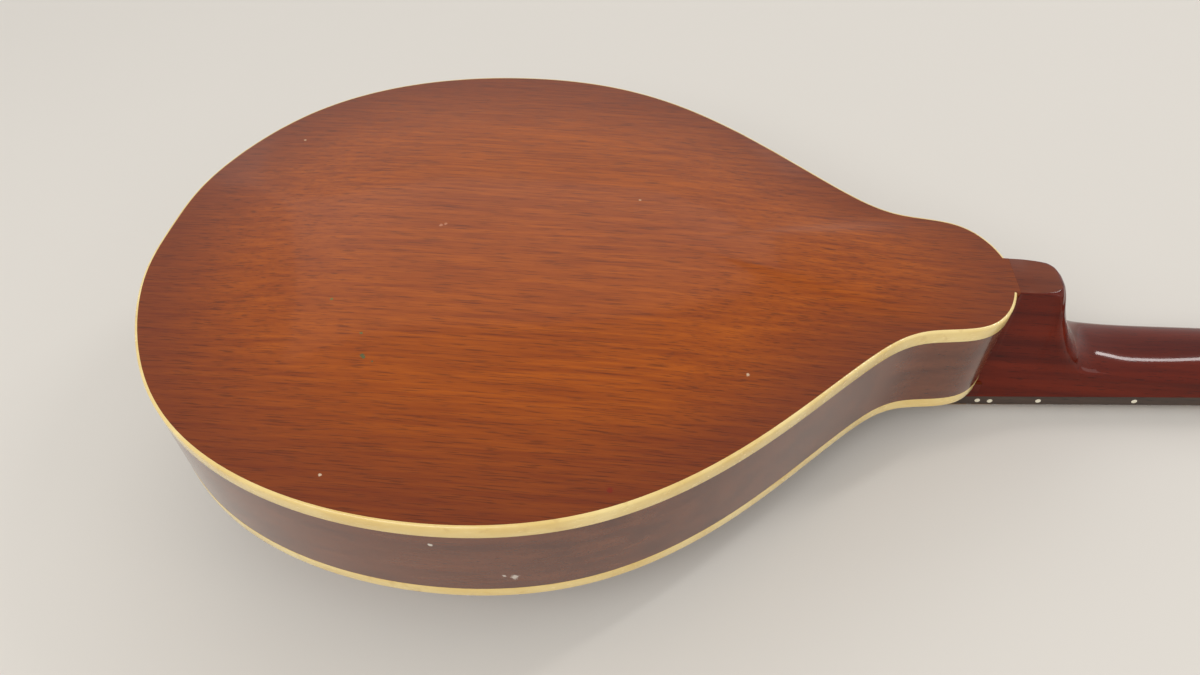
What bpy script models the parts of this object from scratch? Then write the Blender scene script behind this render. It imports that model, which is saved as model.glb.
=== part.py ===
# A-style mandolin lying face down, on its bridge saddle and the tips of its first tuning posts.
#
# Metres, +Z up. +X runs from the tail to the headstock, -Y is the bass side.
# The pieces are placed in the instrument's own frame, held by the empty Instrument: x from the
# tail end of the body, y from the centre line, and "depth" from the plane of the back's edge
# towards the front of the instrument (local z is minus the depth). The empty turns and lifts
# them all, so that the instrument lies on the floor at z = 0, centred on the origin.

import math

import bmesh
import bpy
import numpy as np
from mathutils import Matrix, Vector

MM = 0.001

# Fits and clearances
GLUE_GAP = 0.3 * MM  # between two pieces that are glued or screwed together
SLIDE_GAP = 0.35 * MM  # between two pieces that move on each other
TURN_GAP = 0.45 * MM  # round a shaft in its bore

# Body
BODY_LENGTH = 342.8 * MM
BODY_WIDTH = 260.0 * MM
BODY_DEPTH = 45.2 * MM  # rim height with its two bindings
# Half outline from the tail to the heel: share of the length, share of the half width
OUTLINE = [
    (0.0, 0.0), (0.008, 0.249), (0.083, 0.652), (0.212, 0.904), (0.374, 0.998), (0.5455, 0.934),
    (0.702, 0.676), (0.8285, 0.363), (0.890, 0.266), (0.9606, 0.220), (1.0, 0.0),
]
SPAN_COUNT = 24  # dense points from one given point of the outline to the next
RIM_COUNT = 28  # points kept along each half of the rim
RIB_WALL = 1.6 * MM
BACK_WALL = 3.2 * MM
BACK_ARCH = 6.5 * MM
TOP_WALL = 3.3 * MM
TOP_ARCH = 12.5 * MM
BINDING_WALL = 1.6 * MM
BACK_BINDING_HEIGHT = 5.8 * MM
TOP_BINDING_HEIGHT = 5.4 * MM
LINING_WIDTH = 6.0 * MM
LINING_HEIGHT = 13.0 * MM
SPINE_FROM = 0.32 * BODY_LENGTH  # the arches of both plates are fullest between these two places
SPINE_TO = 0.6 * BODY_LENGTH
ARCH_POWER = 1.15  # above 1 makes the arch fuller in the middle
BLOCK_LENGTH = 48.0 * MM
BLOCK_WIDTH = 46.0 * MM
TAIL_BLOCK_LENGTH = 16.0 * MM
TAIL_BLOCK_WIDTH = 60.0 * MM
TENON_LENGTH = 14.0 * MM
TENON_WIDTH = 15.0 * MM
TENON_DEPTH = 34.0 * MM
BAR_WIDTH = 7.0 * MM
BAR_HEIGHT = 9.0 * MM
BAR_SEAT = 1.0 * MM  # under the smooth arch, to clear the flat faces of the top
BAR_LENGTH = 190.0 * MM
BAR_SPREAD = 44.0 * MM  # from one tone bar's middle to the other's

# Sound holes
HOLE_X = 167.0 * MM
HOLE_Y = 66.0 * MM
HOLE_LENGTH = 84.0 * MM
HOLE_WIDTH = 7.0 * MM
HOLE_SWING = 15.0 * MM  # how far the two ends lie apart across the instrument
UPPER_EYE_RADIUS = 4.6 * MM
LOWER_EYE_RADIUS = 5.8 * MM

# Scale and fingerboard
SCALE_LENGTH = 352.4 * MM
FRET_COUNT = 20
FRETS_TO_BODY = 12
LAST_FREE_FRET = 3.0 * MM  # from the fret at the body's end to the end of the body
NUT_X = BODY_LENGTH - LAST_FREE_FRET + SCALE_LENGTH * 2 ** (-FRETS_TO_BODY / 12)
FRET_HEIGHT = 1.0 * MM
FRET_WIDTH = 1.6 * MM
BOARD_WALL = 5.5 * MM
BOARD_SLOPE = 0.073  # radians, towards the back on the way to the nut
BOARD_RISE = 7.5 * MM  # of the board's underside over the rim where it passes the body's end
BOARD_DEPTH = BODY_DEPTH + BOARD_RISE
BOARD_OVERHANG = 5.0 * MM  # board past the last fret
BOARD_END_X = NUT_X - SCALE_LENGTH * (1 - 2 ** (-FRET_COUNT / 12)) - BOARD_OVERHANG
BOARD_HALF_AT_NUT = 14.9 * MM
BOARD_HALF_AT_HEEL = 18.8 * MM

# Neck
HEEL_LENGTH = 18.5 * MM
HEEL_HALF_WIDTH = 9.8 * MM  # of its flat end, at the body
NECK_THICKNESS_AT_HEEL = 13.4 * MM  # from the board's underside to the back of the neck
NECK_THICKNESS_AT_NUT = 11.8 * MM
NECK_SIDE_AT_HEEL = 8.2 * MM  # height of the flat side of the neck
NECK_SIDE_AT_NUT = 4.6 * MM
HEEL_EDGE = 0.9 * MM  # rounding of the heel's end
RIDGE_FLAT = 1.0 * MM
HEEL_SADDLE = 36.0 * MM  # from the heel's end to where the plain neck starts
# Back of the neck past the heel's end: distance, and as shares of the board's depth the depth of
# the ridge and of the edge of the flat side
HEEL_CURVE = [
    (0.0, 0.008, 0.38), (3.0 * MM, 0.15, 0.5), (6.0 * MM, 0.285, 0.59), (11.0 * MM, 0.47, 0.69),
    (17.0 * MM, 0.6, 0.74), (25.0 * MM, 0.655, 0.765),
]
# Heel on the way to its end: share of its length, side's edge, share of the half width
HEEL_CAP = [(1.0, HEEL_EDGE, 1.0), (0.5, HEEL_EDGE, 0.93), (0.22, HEEL_EDGE * 2, 0.74), (0.09, 8.0 * MM, 0.5)]
NECK_UNDER_BOARD = 12.0 * MM  # from the end of the board to the end of the neck under it
NECK_PAST_NUT = 10.0 * MM  # inside the headstock
HEAD_STEP = 1.5 * MM
ROD_WIDTH = 5.0 * MM  # truss rod
ROD_BURIED = 5.2 * MM  # from the board's underside to the truss rod's middle
ROD_LENGTH = 150.0 * MM
ROD_NUT_RADIUS = 3.4 * MM
ROD_NUT_LENGTH = 11.0 * MM
ROD_CUT = 20.0 * MM  # how far the channel's cutter stands out past the neck
ROD_POCKET_WIDTH = 10.0 * MM
ROD_POCKET_LENGTH = 26.0 * MM

# Headstock, in its own frame: x from the nut's far face, z = 0 on its front face
HEAD_ANGLE = 14.0  # degrees, from the line of the fingerboard
HEAD_LENGTH = 142.0 * MM
HEAD_WALL = 14.0 * MM
# Half outline: share of the length, half width in metres
HEAD_OUTLINE = [
    (0.0, 16.0 * MM), (0.05, 17.5 * MM), (0.12, 23.5 * MM), (0.19, 27.5 * MM), (0.28, 28.8 * MM),
    (0.6, 31.0 * MM), (0.84, 33.0 * MM), (0.89, 32.4 * MM), (0.925, 28.5 * MM), (0.945, 22.0 * MM),
    (0.957, 15.0 * MM), (0.975, 9.0 * MM), (0.995, 5.0 * MM),
]
VENEER_WALL = 1.6 * MM
VENEER_STEP = 1.0 * MM  # from the board's underside to the headstock's face
ROD_COVER_WALL = 1.5 * MM
# Half outline of the truss rod's cover
ROD_COVER_OUTLINE = [
    (2.0 * MM, 8.5 * MM), (8.0 * MM, 9.5 * MM), (14.0 * MM, 8.6 * MM), (20.0 * MM, 5.6 * MM),
    (26.0 * MM, 4.2 * MM), (33.0 * MM, 3.6 * MM), (36.0 * MM, 1.6 * MM),
]
NUT_LENGTH = 4.6 * MM
NUT_FALL = 1.2 * MM  # of the nut's top towards the headstock

# Tuning machines: four on a plate, on the back of the headstock
POST_COUNT = 4
POST_PITCH = 23.2 * MM
FIRST_POST_X = 36.0 * MM
POST_Y = 16.5 * MM
POST_RADIUS = 3.0 * MM
POST_REACH = 16.0 * MM  # past the front face
PLATE_WALL = 1.2 * MM
PLATE_WIDTH = 15.0 * MM
PLATE_MARGIN = 14.0 * MM  # plate past the first and last post
GEAR_RADIUS = 4.8 * MM
GEAR_WALL = 3.6 * MM
GEAR_TEETH = 14
TOOTH_HEIGHT = 0.8 * MM
WORM_RADIUS = 2.3 * MM
WORM_LENGTH = 9.0 * MM
SHAFT_RADIUS = 1.4 * MM
LUG_WALL = 1.6 * MM
LUG_WIDTH = 4.6 * MM
LUG_OVER_WORM = 2.2 * MM
WORM_OVER_PLATE = 0.6 * MM
THREAD_DEPTH = 0.6 * MM
THREAD_COUNT = 3
POST_END_RADIUS = 2.2 * MM
POST_BOSS = 1.0 * MM
BUTTON_LENGTH = 13.0 * MM
BUTTON_WIDTH = 14.5 * MM
BUTTON_WALL = 7.0 * MM
BUTTON_CLEARANCE = 6.0 * MM  # from the headstock's side to the button

# Strings, from the treble side to the bass side
STRING_DIAMETERS = [width * MM for width in (0.28, 0.28, 0.38, 0.38, 0.63, 0.63, 0.97, 0.97)]
COURSE_GAP = 2.0 * MM
SPREAD_AT_NUT = 23.0 * MM  # first to last string
SPREAD_AT_SADDLE = 40.0 * MM
ACTION = 2.1 * MM  # middle of a string over the 12th fret
STRING_OVER_NUT = 1.75 * MM  # middle of a string over the board, at the nut

# Bridge
SADDLE_WALL = 5.0 * MM
SADDLE_LENGTH = 66.0 * MM
SADDLE_HEIGHT = 9.0 * MM
NOTCH_HALF = 0.84 * MM
NOTCH_FLOOR_HALF = 0.6 * MM
BASE_LENGTH = 112.0 * MM
BASE_WALL = 11.0 * MM
STUD_SPREAD = 56.0 * MM
STUD_RADIUS = 1.6 * MM
WHEEL_RADIUS = 5.0 * MM
WHEEL_HEIGHT = 2.4 * MM
SADDLE_TRAVEL = 2.0 * MM  # how far the thumbwheels can let the saddle down
SADDLE_OVER_STRING = 0.2 * MM
SADDLE_SHOULDER = 3.0 * MM
STUD_IN_SADDLE = 4.0 * MM
STUD_IN_BASE = 3.0 * MM
BASE_FLAT_SHARE = 0.62  # of its half length, from the middle
BASE_END = 3.0 * MM  # height of its ends
ARCHWAY = 2.6 * MM  # under the middle of the base
COMPENSATION = 1.5 * MM  # saddle past the scale length
SADDLE_X = NUT_X - SCALE_LENGTH - COMPENSATION

# Tailpiece
TAIL_WIDTH = 30.0 * MM
TAIL_LENGTH = 74.0 * MM
TAIL_WALL = 1.2 * MM
TAIL_RISE = 9.5 * MM  # of the plate, in front of the rim
TAIL_LOW = 10.0 * MM  # depth at which the tailpiece ends behind the end pin
TAIL_BEND = 2.0 * MM
HOOK_ROW_X = 22.0 * MM
HOOK_HALF = 0.55 * MM
HOOK_REACH = 3.2 * MM
STRING_OVER_TAIL = 2.2 * MM
TAIL_SPREAD = 0.62  # spread of the hooks as a share of the spread at the saddle
COVER_WIDTH = 38.0 * MM
COVER_LENGTH = 52.0 * MM
COVER_RISE = 5.2 * MM
COVER_WALL = 1.0 * MM
COVER_LIP = 1.0 * MM  # cover past the underside of the tailpiece
COVER_BEND = 4.0 * MM
PIN_RADIUS = 6.5 * MM
PIN_LENGTH = 12.0 * MM
PIN_SHAFT_RADIUS = 2.5 * MM
PIN_DEPTH = BODY_DEPTH / 2
PIN_HEAD = 7.0 * MM
# Share of the pin's head, share of its radius
PIN_PROFILE = [(1.0, 0.55), (0.86, 0.95), (0.66, 1.0), (0.43, 0.62), (0.0, 0.8)]

# Pickguard
GUARD_WALL = 2.0 * MM
GUARD_GAP = 0.4 * MM
GUARD_REACH = 55.4 * MM  # past the end of the board, along its side
GUARD_TIP = 8.0 * MM
# Outer outline from its tail end: x from the end of the board, distance from the centre line
GUARD_OUTLINE = [
    (-73.6 * MM, 29.0 * MM), (-70.6 * MM, 47.0 * MM), (-61.6 * MM, 56.0 * MM), (-43.6 * MM, 60.0 * MM),
    (-15.6 * MM, 58.0 * MM), (16.4 * MM, 46.0 * MM),
]
BRACKET_X = BOARD_END_X - 33.6 * MM
BRACKET_WIDTH = 9.0 * MM
BRACKET_WALL = 1.2 * MM
BRACKET_Y = 44.0 * MM
BRACKET_FOOT = 12.0 * MM
BRACKET_CLAW = 14.0 * MM


def clear_scene():
    for old in list(bpy.data.objects):
        bpy.data.objects.remove(old, do_unlink=True)


def new_collection(name, hidden=False):
    made = bpy.data.collections.new(name)
    bpy.context.scene.collection.children.link(made)
    made.hide_render = hidden
    return made


def material(name, colour, roughness, metallic=0.0):
    made = bpy.data.materials.new(name)
    made.use_nodes = True
    shader = made.node_tree.nodes["Principled BSDF"]
    shader.inputs["Base Color"].default_value = (*colour, 1.0)
    shader.inputs["Roughness"].default_value = roughness
    shader.inputs["Metallic"].default_value = metallic
    made.diffuse_color = (*colour, 1.0)
    return made


def add_object(name, mesh, look, parent, smooth=True):
    """A new object of the mandolin, under the given empty."""
    made = bpy.data.objects.new(name, mesh)
    parts.objects.link(made)
    made.parent = parent
    if look:
        mesh.materials.append(look)
    if smooth:
        mesh.shade_smooth()
        mesh.set_sharp_from_angle(angle=math.radians(35))
    return made


def add_cutter(name, mesh, parent):
    made = bpy.data.objects.new(name, mesh)
    cutters.objects.link(made)
    made.parent = parent
    made.hide_render = True
    made.display_type = "WIRE"
    return made


def boolean(target, other, operation="DIFFERENCE"):
    step = target.modifiers.new(other.name, "BOOLEAN")
    step.operation = operation
    step.object = other
    step.solver = "EXACT"


def mesh_of(name, points, faces):
    """A mesh whose faces all point outwards."""
    mesh = bpy.data.meshes.new(name)
    mesh.from_pydata([tuple(p) for p in points], [], faces)
    work = bmesh.new()
    work.from_mesh(mesh)
    bmesh.ops.remove_doubles(work, verts=work.verts, dist=1e-6)
    bmesh.ops.recalc_face_normals(work, faces=work.faces)
    work.to_mesh(mesh)
    work.free()
    return mesh


def loft(name, sections, closed=False):
    """Skin over rings of points that all have the same count; the ends are capped unless closed."""
    count = len(sections[0])
    points = [p for ring in sections for p in ring]
    faces = []
    spans = len(sections) if closed else len(sections) - 1
    for i in range(spans):
        a = i * count
        b = (i + 1) % len(sections) * count
        for j in range(count):
            k = (j + 1) % count
            faces.append((a + j, a + k, b + k, b + j))
    if not closed:
        faces.append(tuple(range(count)))
        faces.append(tuple((len(sections) - 1) * count + j for j in range(count)))
    return mesh_of(name, points, faces)


def box(name, low, high):
    """A cube primitive from one corner to the other."""
    work = bmesh.new()
    bmesh.ops.create_cube(work, size=1.0)
    low, high = Vector(low), Vector(high)
    size = high - low
    bmesh.ops.scale(work, vec=size, verts=work.verts)
    bmesh.ops.translate(work, vec=(low + high) / 2, verts=work.verts)
    mesh = bpy.data.meshes.new(name)
    work.to_mesh(mesh)
    work.free()
    return mesh


def turned(name, profile, sides=16, axis="Z"):
    """A solid turned from (radius, height) pairs, lowest first, about the given local axis."""
    rings = []
    for radius, height in profile:
        ring = []
        for i in range(sides):
            turn = 2 * math.pi * i / sides
            a, b = radius * math.cos(turn), radius * math.sin(turn)
            ring.append({"Z": (a, b, height), "Y": (b, height, a), "X": (height, a, b)}[axis])
        rings.append(ring)
    return loft(name, rings)


def plate_from_outline(name, outline, low, high):
    """A flat outline of (x, y) points made into a plate between two heights."""
    return loft(name, [[(x, y, low) for x, y in outline], [(x, y, high) for x, y in outline]])


def shift(mesh, offset):
    mesh.transform(Matrix.Translation(offset))
    return mesh


def smooth_loop(points):
    """Dense points on the smooth closed curve that passes through the given ones."""
    points = np.array(points, float)
    count = len(points)
    step = np.linalg.norm(np.roll(points, -1, 0) - points, axis=1) ** 0.5
    matrix = np.zeros((count, count))
    right = np.zeros((count, 2))
    for i in range(count):
        before, after, j = step[i - 1], step[i], (i + 1) % count
        matrix[i, i - 1] += after
        matrix[i, i] += 2 * (before + after)
        matrix[i, j] += before
        back, ahead = points[i] - points[i - 1], points[j] - points[i]
        right[i] = 3 * (after * back / before + before * ahead / after)
    slope = np.linalg.solve(matrix, right)
    dense = []
    for i in range(count):
        j = (i + 1) % count
        for t in np.linspace(0, 1, SPAN_COUNT, endpoint=False):
            dense.append(
                (2 * t**3 - 3 * t**2 + 1) * points[i]
                + (t**3 - 2 * t**2 + t) * step[i] * slope[i]
                + (3 * t**2 - 2 * t**3) * points[j]
                + (t**3 - t**2) * step[i] * slope[j]
            )
    return np.array(dense)


def half_body_outline():
    """The treble half of the body's outline, dense, from the tail to the heel, with outward normals."""
    half = [(x * BODY_LENGTH, y * BODY_WIDTH / 2) for x, y in OUTLINE]
    other = [(x, -y) for x, y in reversed(half[1:-1])]
    loop = smooth_loop(half + other)
    tangent = np.roll(loop, -1, 0) - np.roll(loop, 1, 0)
    normal = np.stack([-tangent[:, 1], tangent[:, 0]], 1)
    normal /= np.linalg.norm(normal, axis=1)[:, None]
    last = SPAN_COUNT * (len(OUTLINE) - 1)
    return loop[: last + 1], normal[: last + 1]


def side_path(half_width, side=1):
    """Points along one half of the outline, from the tail seam to where it comes as near as
    half_width to the centre line at the heel."""
    line, _ = half_body_outline()
    start_gap = GLUE_GAP / 2
    middle = len(line) // 2
    first = next(i for i in range(middle) if line[i][1] > start_gap)
    last = next(i for i in range(len(line) - 1, 0, -1) if line[i][1] > half_width)
    piece = line[first : last + 1]
    ahead = np.diff(piece, axis=0)
    length = np.linalg.norm(ahead, axis=1)
    angle = np.unwrap(np.arctan2(ahead[:, 1], ahead[:, 0]))
    turn = np.abs(np.diff(angle, append=angle[-1]))
    measure = np.concatenate([[0], np.cumsum(length / length.sum() + turn / turn.sum())])
    wanted = np.linspace(0, measure[-1], RIM_COUNT)
    points = np.stack([np.interp(wanted, measure, piece[:, i]) for i in (0, 1)], 1)
    points[0][1] = start_gap
    return [(x, side * y) for x, y in points]


def edge_strip(name, look, wall, near, far, half_width, side):
    """A band that follows one half of the outline: depth near to far, wall thick."""
    outer = side_path(half_width, side)
    inner = offset_path(outer, wall, side)
    rings = [
        [(ox, oy, -near), (ox, oy, -far), (ix, iy, -far), (ix, iy, -near)]
        for (ox, oy), (ix, iy) in zip(outer, inner)
    ]
    return add_object(name, loft(name, rings), look, instrument)


def offset_path(path, distance, side):
    """The path moved towards the inside of the body."""
    path = np.array(path)
    ahead = np.gradient(path, axis=0)
    ahead /= np.linalg.norm(ahead, axis=1)[:, None]
    inward = np.stack([ahead[:, 1], -ahead[:, 0]], 1) * side
    moved = path + inward * distance
    moved[0][1] = path[0][1]
    return moved


def arch_share(share):
    """Height of an arched plate, from 0 at its edge (share 1) to 1 on its spine (share 0)."""
    return 0.5 * (1 + math.cos(math.pi * min(1.0, abs(share)) ** ARCH_POWER))


def spine_point(x):
    return min(max(x, SPINE_FROM), SPINE_TO)


def arch_on_centre_line(x):
    """Share of the full arch height on the centre line."""
    spine = spine_point(x)
    end = BODY_LENGTH if x > spine else 0.0
    return arch_share((x - spine) / (end - spine)) if x != spine else 1.0


def heel_outline_x(y):
    """Where the body's outline passes the heel's side, at this distance from the centre line."""
    line, _ = half_body_outline()
    near_heel = line[line[:, 0] > BODY_LENGTH * 0.93][::-1]
    return float(np.interp(y, near_heel[:, 1], near_heel[:, 0]))


def plate_outline(inset, tab_half_width):
    """Outline of a plate inside its binding, running out to the heel between the binding's ends."""
    rim = np.array(side_path(tab_half_width + GLUE_GAP))
    half = [tuple(point) for point in offset_path(rim, inset, 1)]
    half[0] = (half[0][0], 0.0)
    onward = rim[-1] - rim[-2]
    past_binding = onward / np.linalg.norm(onward) * GLUE_GAP
    half.append(tuple(np.array(half[-1]) + past_binding))
    outer, inner = rim[-1][1] + past_binding[1], HEEL_HALF_WIDTH - GLUE_GAP
    steps = 4 if outer > HEEL_HALF_WIDTH * 1.3 else 1
    half += [(heel_outline_x(y), y) for y in np.linspace(outer, inner, steps)]
    half.append((BODY_LENGTH, inner - GLUE_GAP))
    return half + [(x, -y) for x, y in reversed(half) if y > 1e-6]


def plate_inset():
    return max(BINDING_WALL, RIB_WALL) + GLUE_GAP


def arched_plate(name, look, arch, wall, edge_depth, front, tab_half_width):
    """A plate arched away from the body, front or back, open underneath its wall."""
    outline = plate_outline(plate_inset(), tab_half_width)
    sign = 1 if front else -1
    rings = []
    for share in (1.0, 0.9, 0.75, 0.54, 0.3, 0.08):
        depth = edge_depth + sign * arch * arch_share(share)
        ring = []
        for x, y in outline:
            spine = spine_point(x)
            ring.append((spine + (x - spine) * share, y * share, -depth))
        rings.append(ring)
    count = len(outline)
    faces = []
    for i in range(len(rings) - 1):
        for j in range(count):
            k = (j + 1) % count
            faces.append((i * count + j, i * count + k, (i + 1) * count + k, (i + 1) * count + j))
    faces.append(tuple((len(rings) - 1) * count + j for j in range(count)))
    mesh = mesh_of(name, [p for ring in rings for p in ring], faces)
    outward = -sign
    if sum(f.normal.z for f in mesh.polygons) * outward < 0:
        mesh.flip_normals()
    plate = add_object(name, mesh, look, instrument)
    shell = plate.modifiers.new("Wall", "SOLIDIFY")
    shell.thickness = wall
    shell.offset = -1.0
    return plate


def top_surface_depth(x):
    return BODY_DEPTH + TOP_ARCH * arch_on_centre_line(x)


def board_under_depth(x):
    """Depth of the fingerboard's underside."""
    return BOARD_DEPTH - math.tan(BOARD_SLOPE) * (x - BODY_LENGTH)


def board_top_depth(x):
    return board_under_depth(x) + BOARD_WALL / math.cos(BOARD_SLOPE)


def board_half_width(x):
    share = (NUT_X - x) / (NUT_X - BODY_LENGTH)
    return BOARD_HALF_AT_NUT + (BOARD_HALF_AT_HEEL - BOARD_HALF_AT_NUT) * share


def fret_x(number):
    return NUT_X - SCALE_LENGTH * (1 - 2 ** (-number / 12))


def string_depth(x):
    """Depth of the strings between the nut and the saddle."""
    at_nut = board_top_depth(NUT_X) + STRING_OVER_NUT
    at_twelfth = board_top_depth(fret_x(12)) + FRET_HEIGHT + ACTION
    return at_nut + (at_twelfth - at_nut) * (NUT_X - x) / (NUT_X - fret_x(12))


def string_offsets(spread):
    """Distance of each string from the centre line, treble side first, in pairs."""
    middle = (spread - COURSE_GAP) / 3
    first = spread / 2
    return [first - course * middle - pair * COURSE_GAP for course in range(4) for pair in range(2)]



def make_body():
    arched_plate("back_plate", looks["back"], BACK_ARCH, BACK_WALL, 0.0, False, HEEL_HALF_WIDTH)
    top = arched_plate("top_plate", looks["top"], TOP_ARCH, TOP_WALL, BODY_DEPTH, True, BOARD_HALF_AT_HEEL)
    rib_near = BACK_BINDING_HEIGHT + GLUE_GAP
    rib_far = BODY_DEPTH - TOP_BINDING_HEIGHT - GLUE_GAP
    lining_inset = RIB_WALL + GLUE_GAP
    back_lining = BACK_WALL + GLUE_GAP
    top_lining = BODY_DEPTH - TOP_WALL - GLUE_GAP
    heel_side = HEEL_HALF_WIDTH + GLUE_GAP
    board_side = BOARD_HALF_AT_HEEL + GLUE_GAP
    band_depth = BODY_DEPTH - TOP_BINDING_HEIGHT
    for name, side in (("bass", -1), ("treble", 1)):
        look, wall = looks["binding"], BINDING_WALL
        edge_strip("rib_" + name, looks["rib"], RIB_WALL, rib_near, rib_far, heel_side, side)
        edge_strip("back_binding_" + name, look, wall, 0.0, BACK_BINDING_HEIGHT, heel_side, side)
        edge_strip("top_binding_" + name, look, wall, band_depth, BODY_DEPTH, board_side, side)
        lining(name, side, lining_inset, back_lining, back_lining + LINING_HEIGHT, "back_lining_")
        lining(name, side, lining_inset, top_lining - LINING_HEIGHT, top_lining, "top_lining_")
    neck_block()
    tail_block(lining_inset)
    return top


def lining(name, side, inset, near, far, prefix):
    """A strip glued inside the rib, between the two blocks."""
    heel_side = HEEL_HALF_WIDTH + GLUE_GAP
    rim = np.array(side_path(heel_side, side))
    outer = offset_path(rim, inset, side)
    inner = offset_path(rim, inset + LINING_WIDTH, side)
    clear = [
        i for i, (x, y) in enumerate(outer)
        if x < BODY_LENGTH - BLOCK_LENGTH - GLUE_GAP and abs(inner[i][1]) > TAIL_BLOCK_WIDTH / 2 + GLUE_GAP
    ]
    path, inner = outer[clear], inner[clear]
    rings = [
        [(ox, oy, -near), (ox, oy, -far), (ix, iy, -far), (ix, iy, -near)]
        for (ox, oy), (ix, iy) in zip(path, inner)
    ]
    add_object(prefix + name, loft(prefix + name, rings), looks["lining"], instrument)


def inside_block(name, low, high, look):
    """A wooden block between the plates: a box kept inside the ribs."""
    block = add_object(name, box(name, low, high), look, instrument, smooth=False)
    boolean(block, inside, "INTERSECT")
    return block


def neck_block():
    near = BACK_WALL + GLUE_GAP
    far = BODY_DEPTH - TOP_WALL - GLUE_GAP
    block = inside_block(
        "neck_block",
        (BODY_LENGTH - BLOCK_LENGTH, -BLOCK_WIDTH / 2, -far),
        (BODY_LENGTH + BLOCK_LENGTH, BLOCK_WIDTH / 2, -near),
        looks["block"],
    )
    boolean(block, mortise)


def tail_block(inset):
    near = BACK_WALL + GLUE_GAP
    far = BODY_DEPTH - TOP_WALL - GLUE_GAP
    block = inside_block(
        "tail_block",
        (-inset, -TAIL_BLOCK_WIDTH / 2, -far),
        (TAIL_BLOCK_LENGTH, TAIL_BLOCK_WIDTH / 2, -near),
        looks["block"],
    )
    boolean(block, pin_hole)
    boolean(bpy.data.objects["rib_bass"], pin_hole)
    boolean(bpy.data.objects["rib_treble"], pin_hole)


def make_tone_bars():
    """Two bars glued under the top, following its arch along the instrument."""
    for name, side in (("tone_bar_bass", -1), ("tone_bar_treble", 1)):
        y = side * BAR_SPREAD / 2
        rings = []
        for share in np.linspace(0, 1, 9):
            x = SADDLE_X + (share - 0.55) * BAR_LENGTH
            glued = surface_depth(x, y) - TOP_WALL - BAR_SEAT
            height = BAR_HEIGHT * (0.35 + 0.65 * math.sin(math.pi * (0.08 + 0.84 * share)))
            low, high = y - BAR_WIDTH / 2, y + BAR_WIDTH / 2
            free = height - glued
            rings.append([(x, low, -glued), (x, high, -glued), (x, high, free), (x, low, free)])
        add_object(name, loft(name, rings), looks["block"], instrument)


def half_width_at(x):
    line, _ = half_body_outline()
    return float(np.interp(x, line[:, 0], line[:, 1]))


def ring_share_at(x, y):
    """Share of the way from the spine to the edge at which a point of a plate lies."""
    line, _ = half_body_outline()
    spine = spine_point(x)
    low, high = 0.0, 1.0
    for _ in range(30):
        share = (low + high) / 2
        if share < 1e-6:
            break
        edge_x = spine + (x - spine) / share
        outside = not 0 < edge_x < BODY_LENGTH or np.interp(edge_x, line[:, 0], line[:, 1]) < abs(y) / share
        if outside:
            low = share
        else:
            high = share
    return high


def surface_depth(x, y):
    """Depth of the top's outer face at any place."""
    return BODY_DEPTH + TOP_ARCH * arch_share(ring_share_at(x, y))


def make_sound_holes(top):
    """A round eye at each end of a long slit that swings from one to the other."""
    for side in (-1, 1):
        path = []
        for share in np.linspace(-0.5, 0.5, 9):
            x = HOLE_X + share * HOLE_LENGTH
            y = HOLE_Y - HOLE_SWING * math.sin(math.pi * share) / 2
            width = HOLE_WIDTH * (1 - 1.1 * abs(share)) / 2
            path.append((x, y, width))
        outline = [(x, side * (y + w)) for x, y, w in path]
        outline += [(x, side * (y - w)) for x, y, w in reversed(path)]
        reach = (BODY_DEPTH - 3 * TOP_WALL, BODY_DEPTH + 2 * TOP_ARCH)
        slit = plate_from_outline("Slit", outline, -reach[1], -reach[0])
        boolean(top, add_cutter("SlitCutter", slit, instrument))
        ends = ((path[0], LOWER_EYE_RADIUS, 1), (path[-1], UPPER_EYE_RADIUS, -1))
        for (x, y, _), radius, turn in ends:
            eye = turned("Eye", [(radius, -reach[1]), (radius, -reach[0])], 14)
            shift(eye, (x, side * (y + turn * radius * 0.6), 0))
            boolean(top, add_cutter("EyeCutter", eye, instrument))


def neck_side(x, depth):
    """Half width of the neck's and the heel's flat side, which leans in towards the back."""
    lean = (BOARD_HALF_AT_HEEL - HEEL_HALF_WIDTH) / BOARD_DEPTH
    return board_half_width(x) - lean * (board_under_depth(x) - depth)


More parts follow.
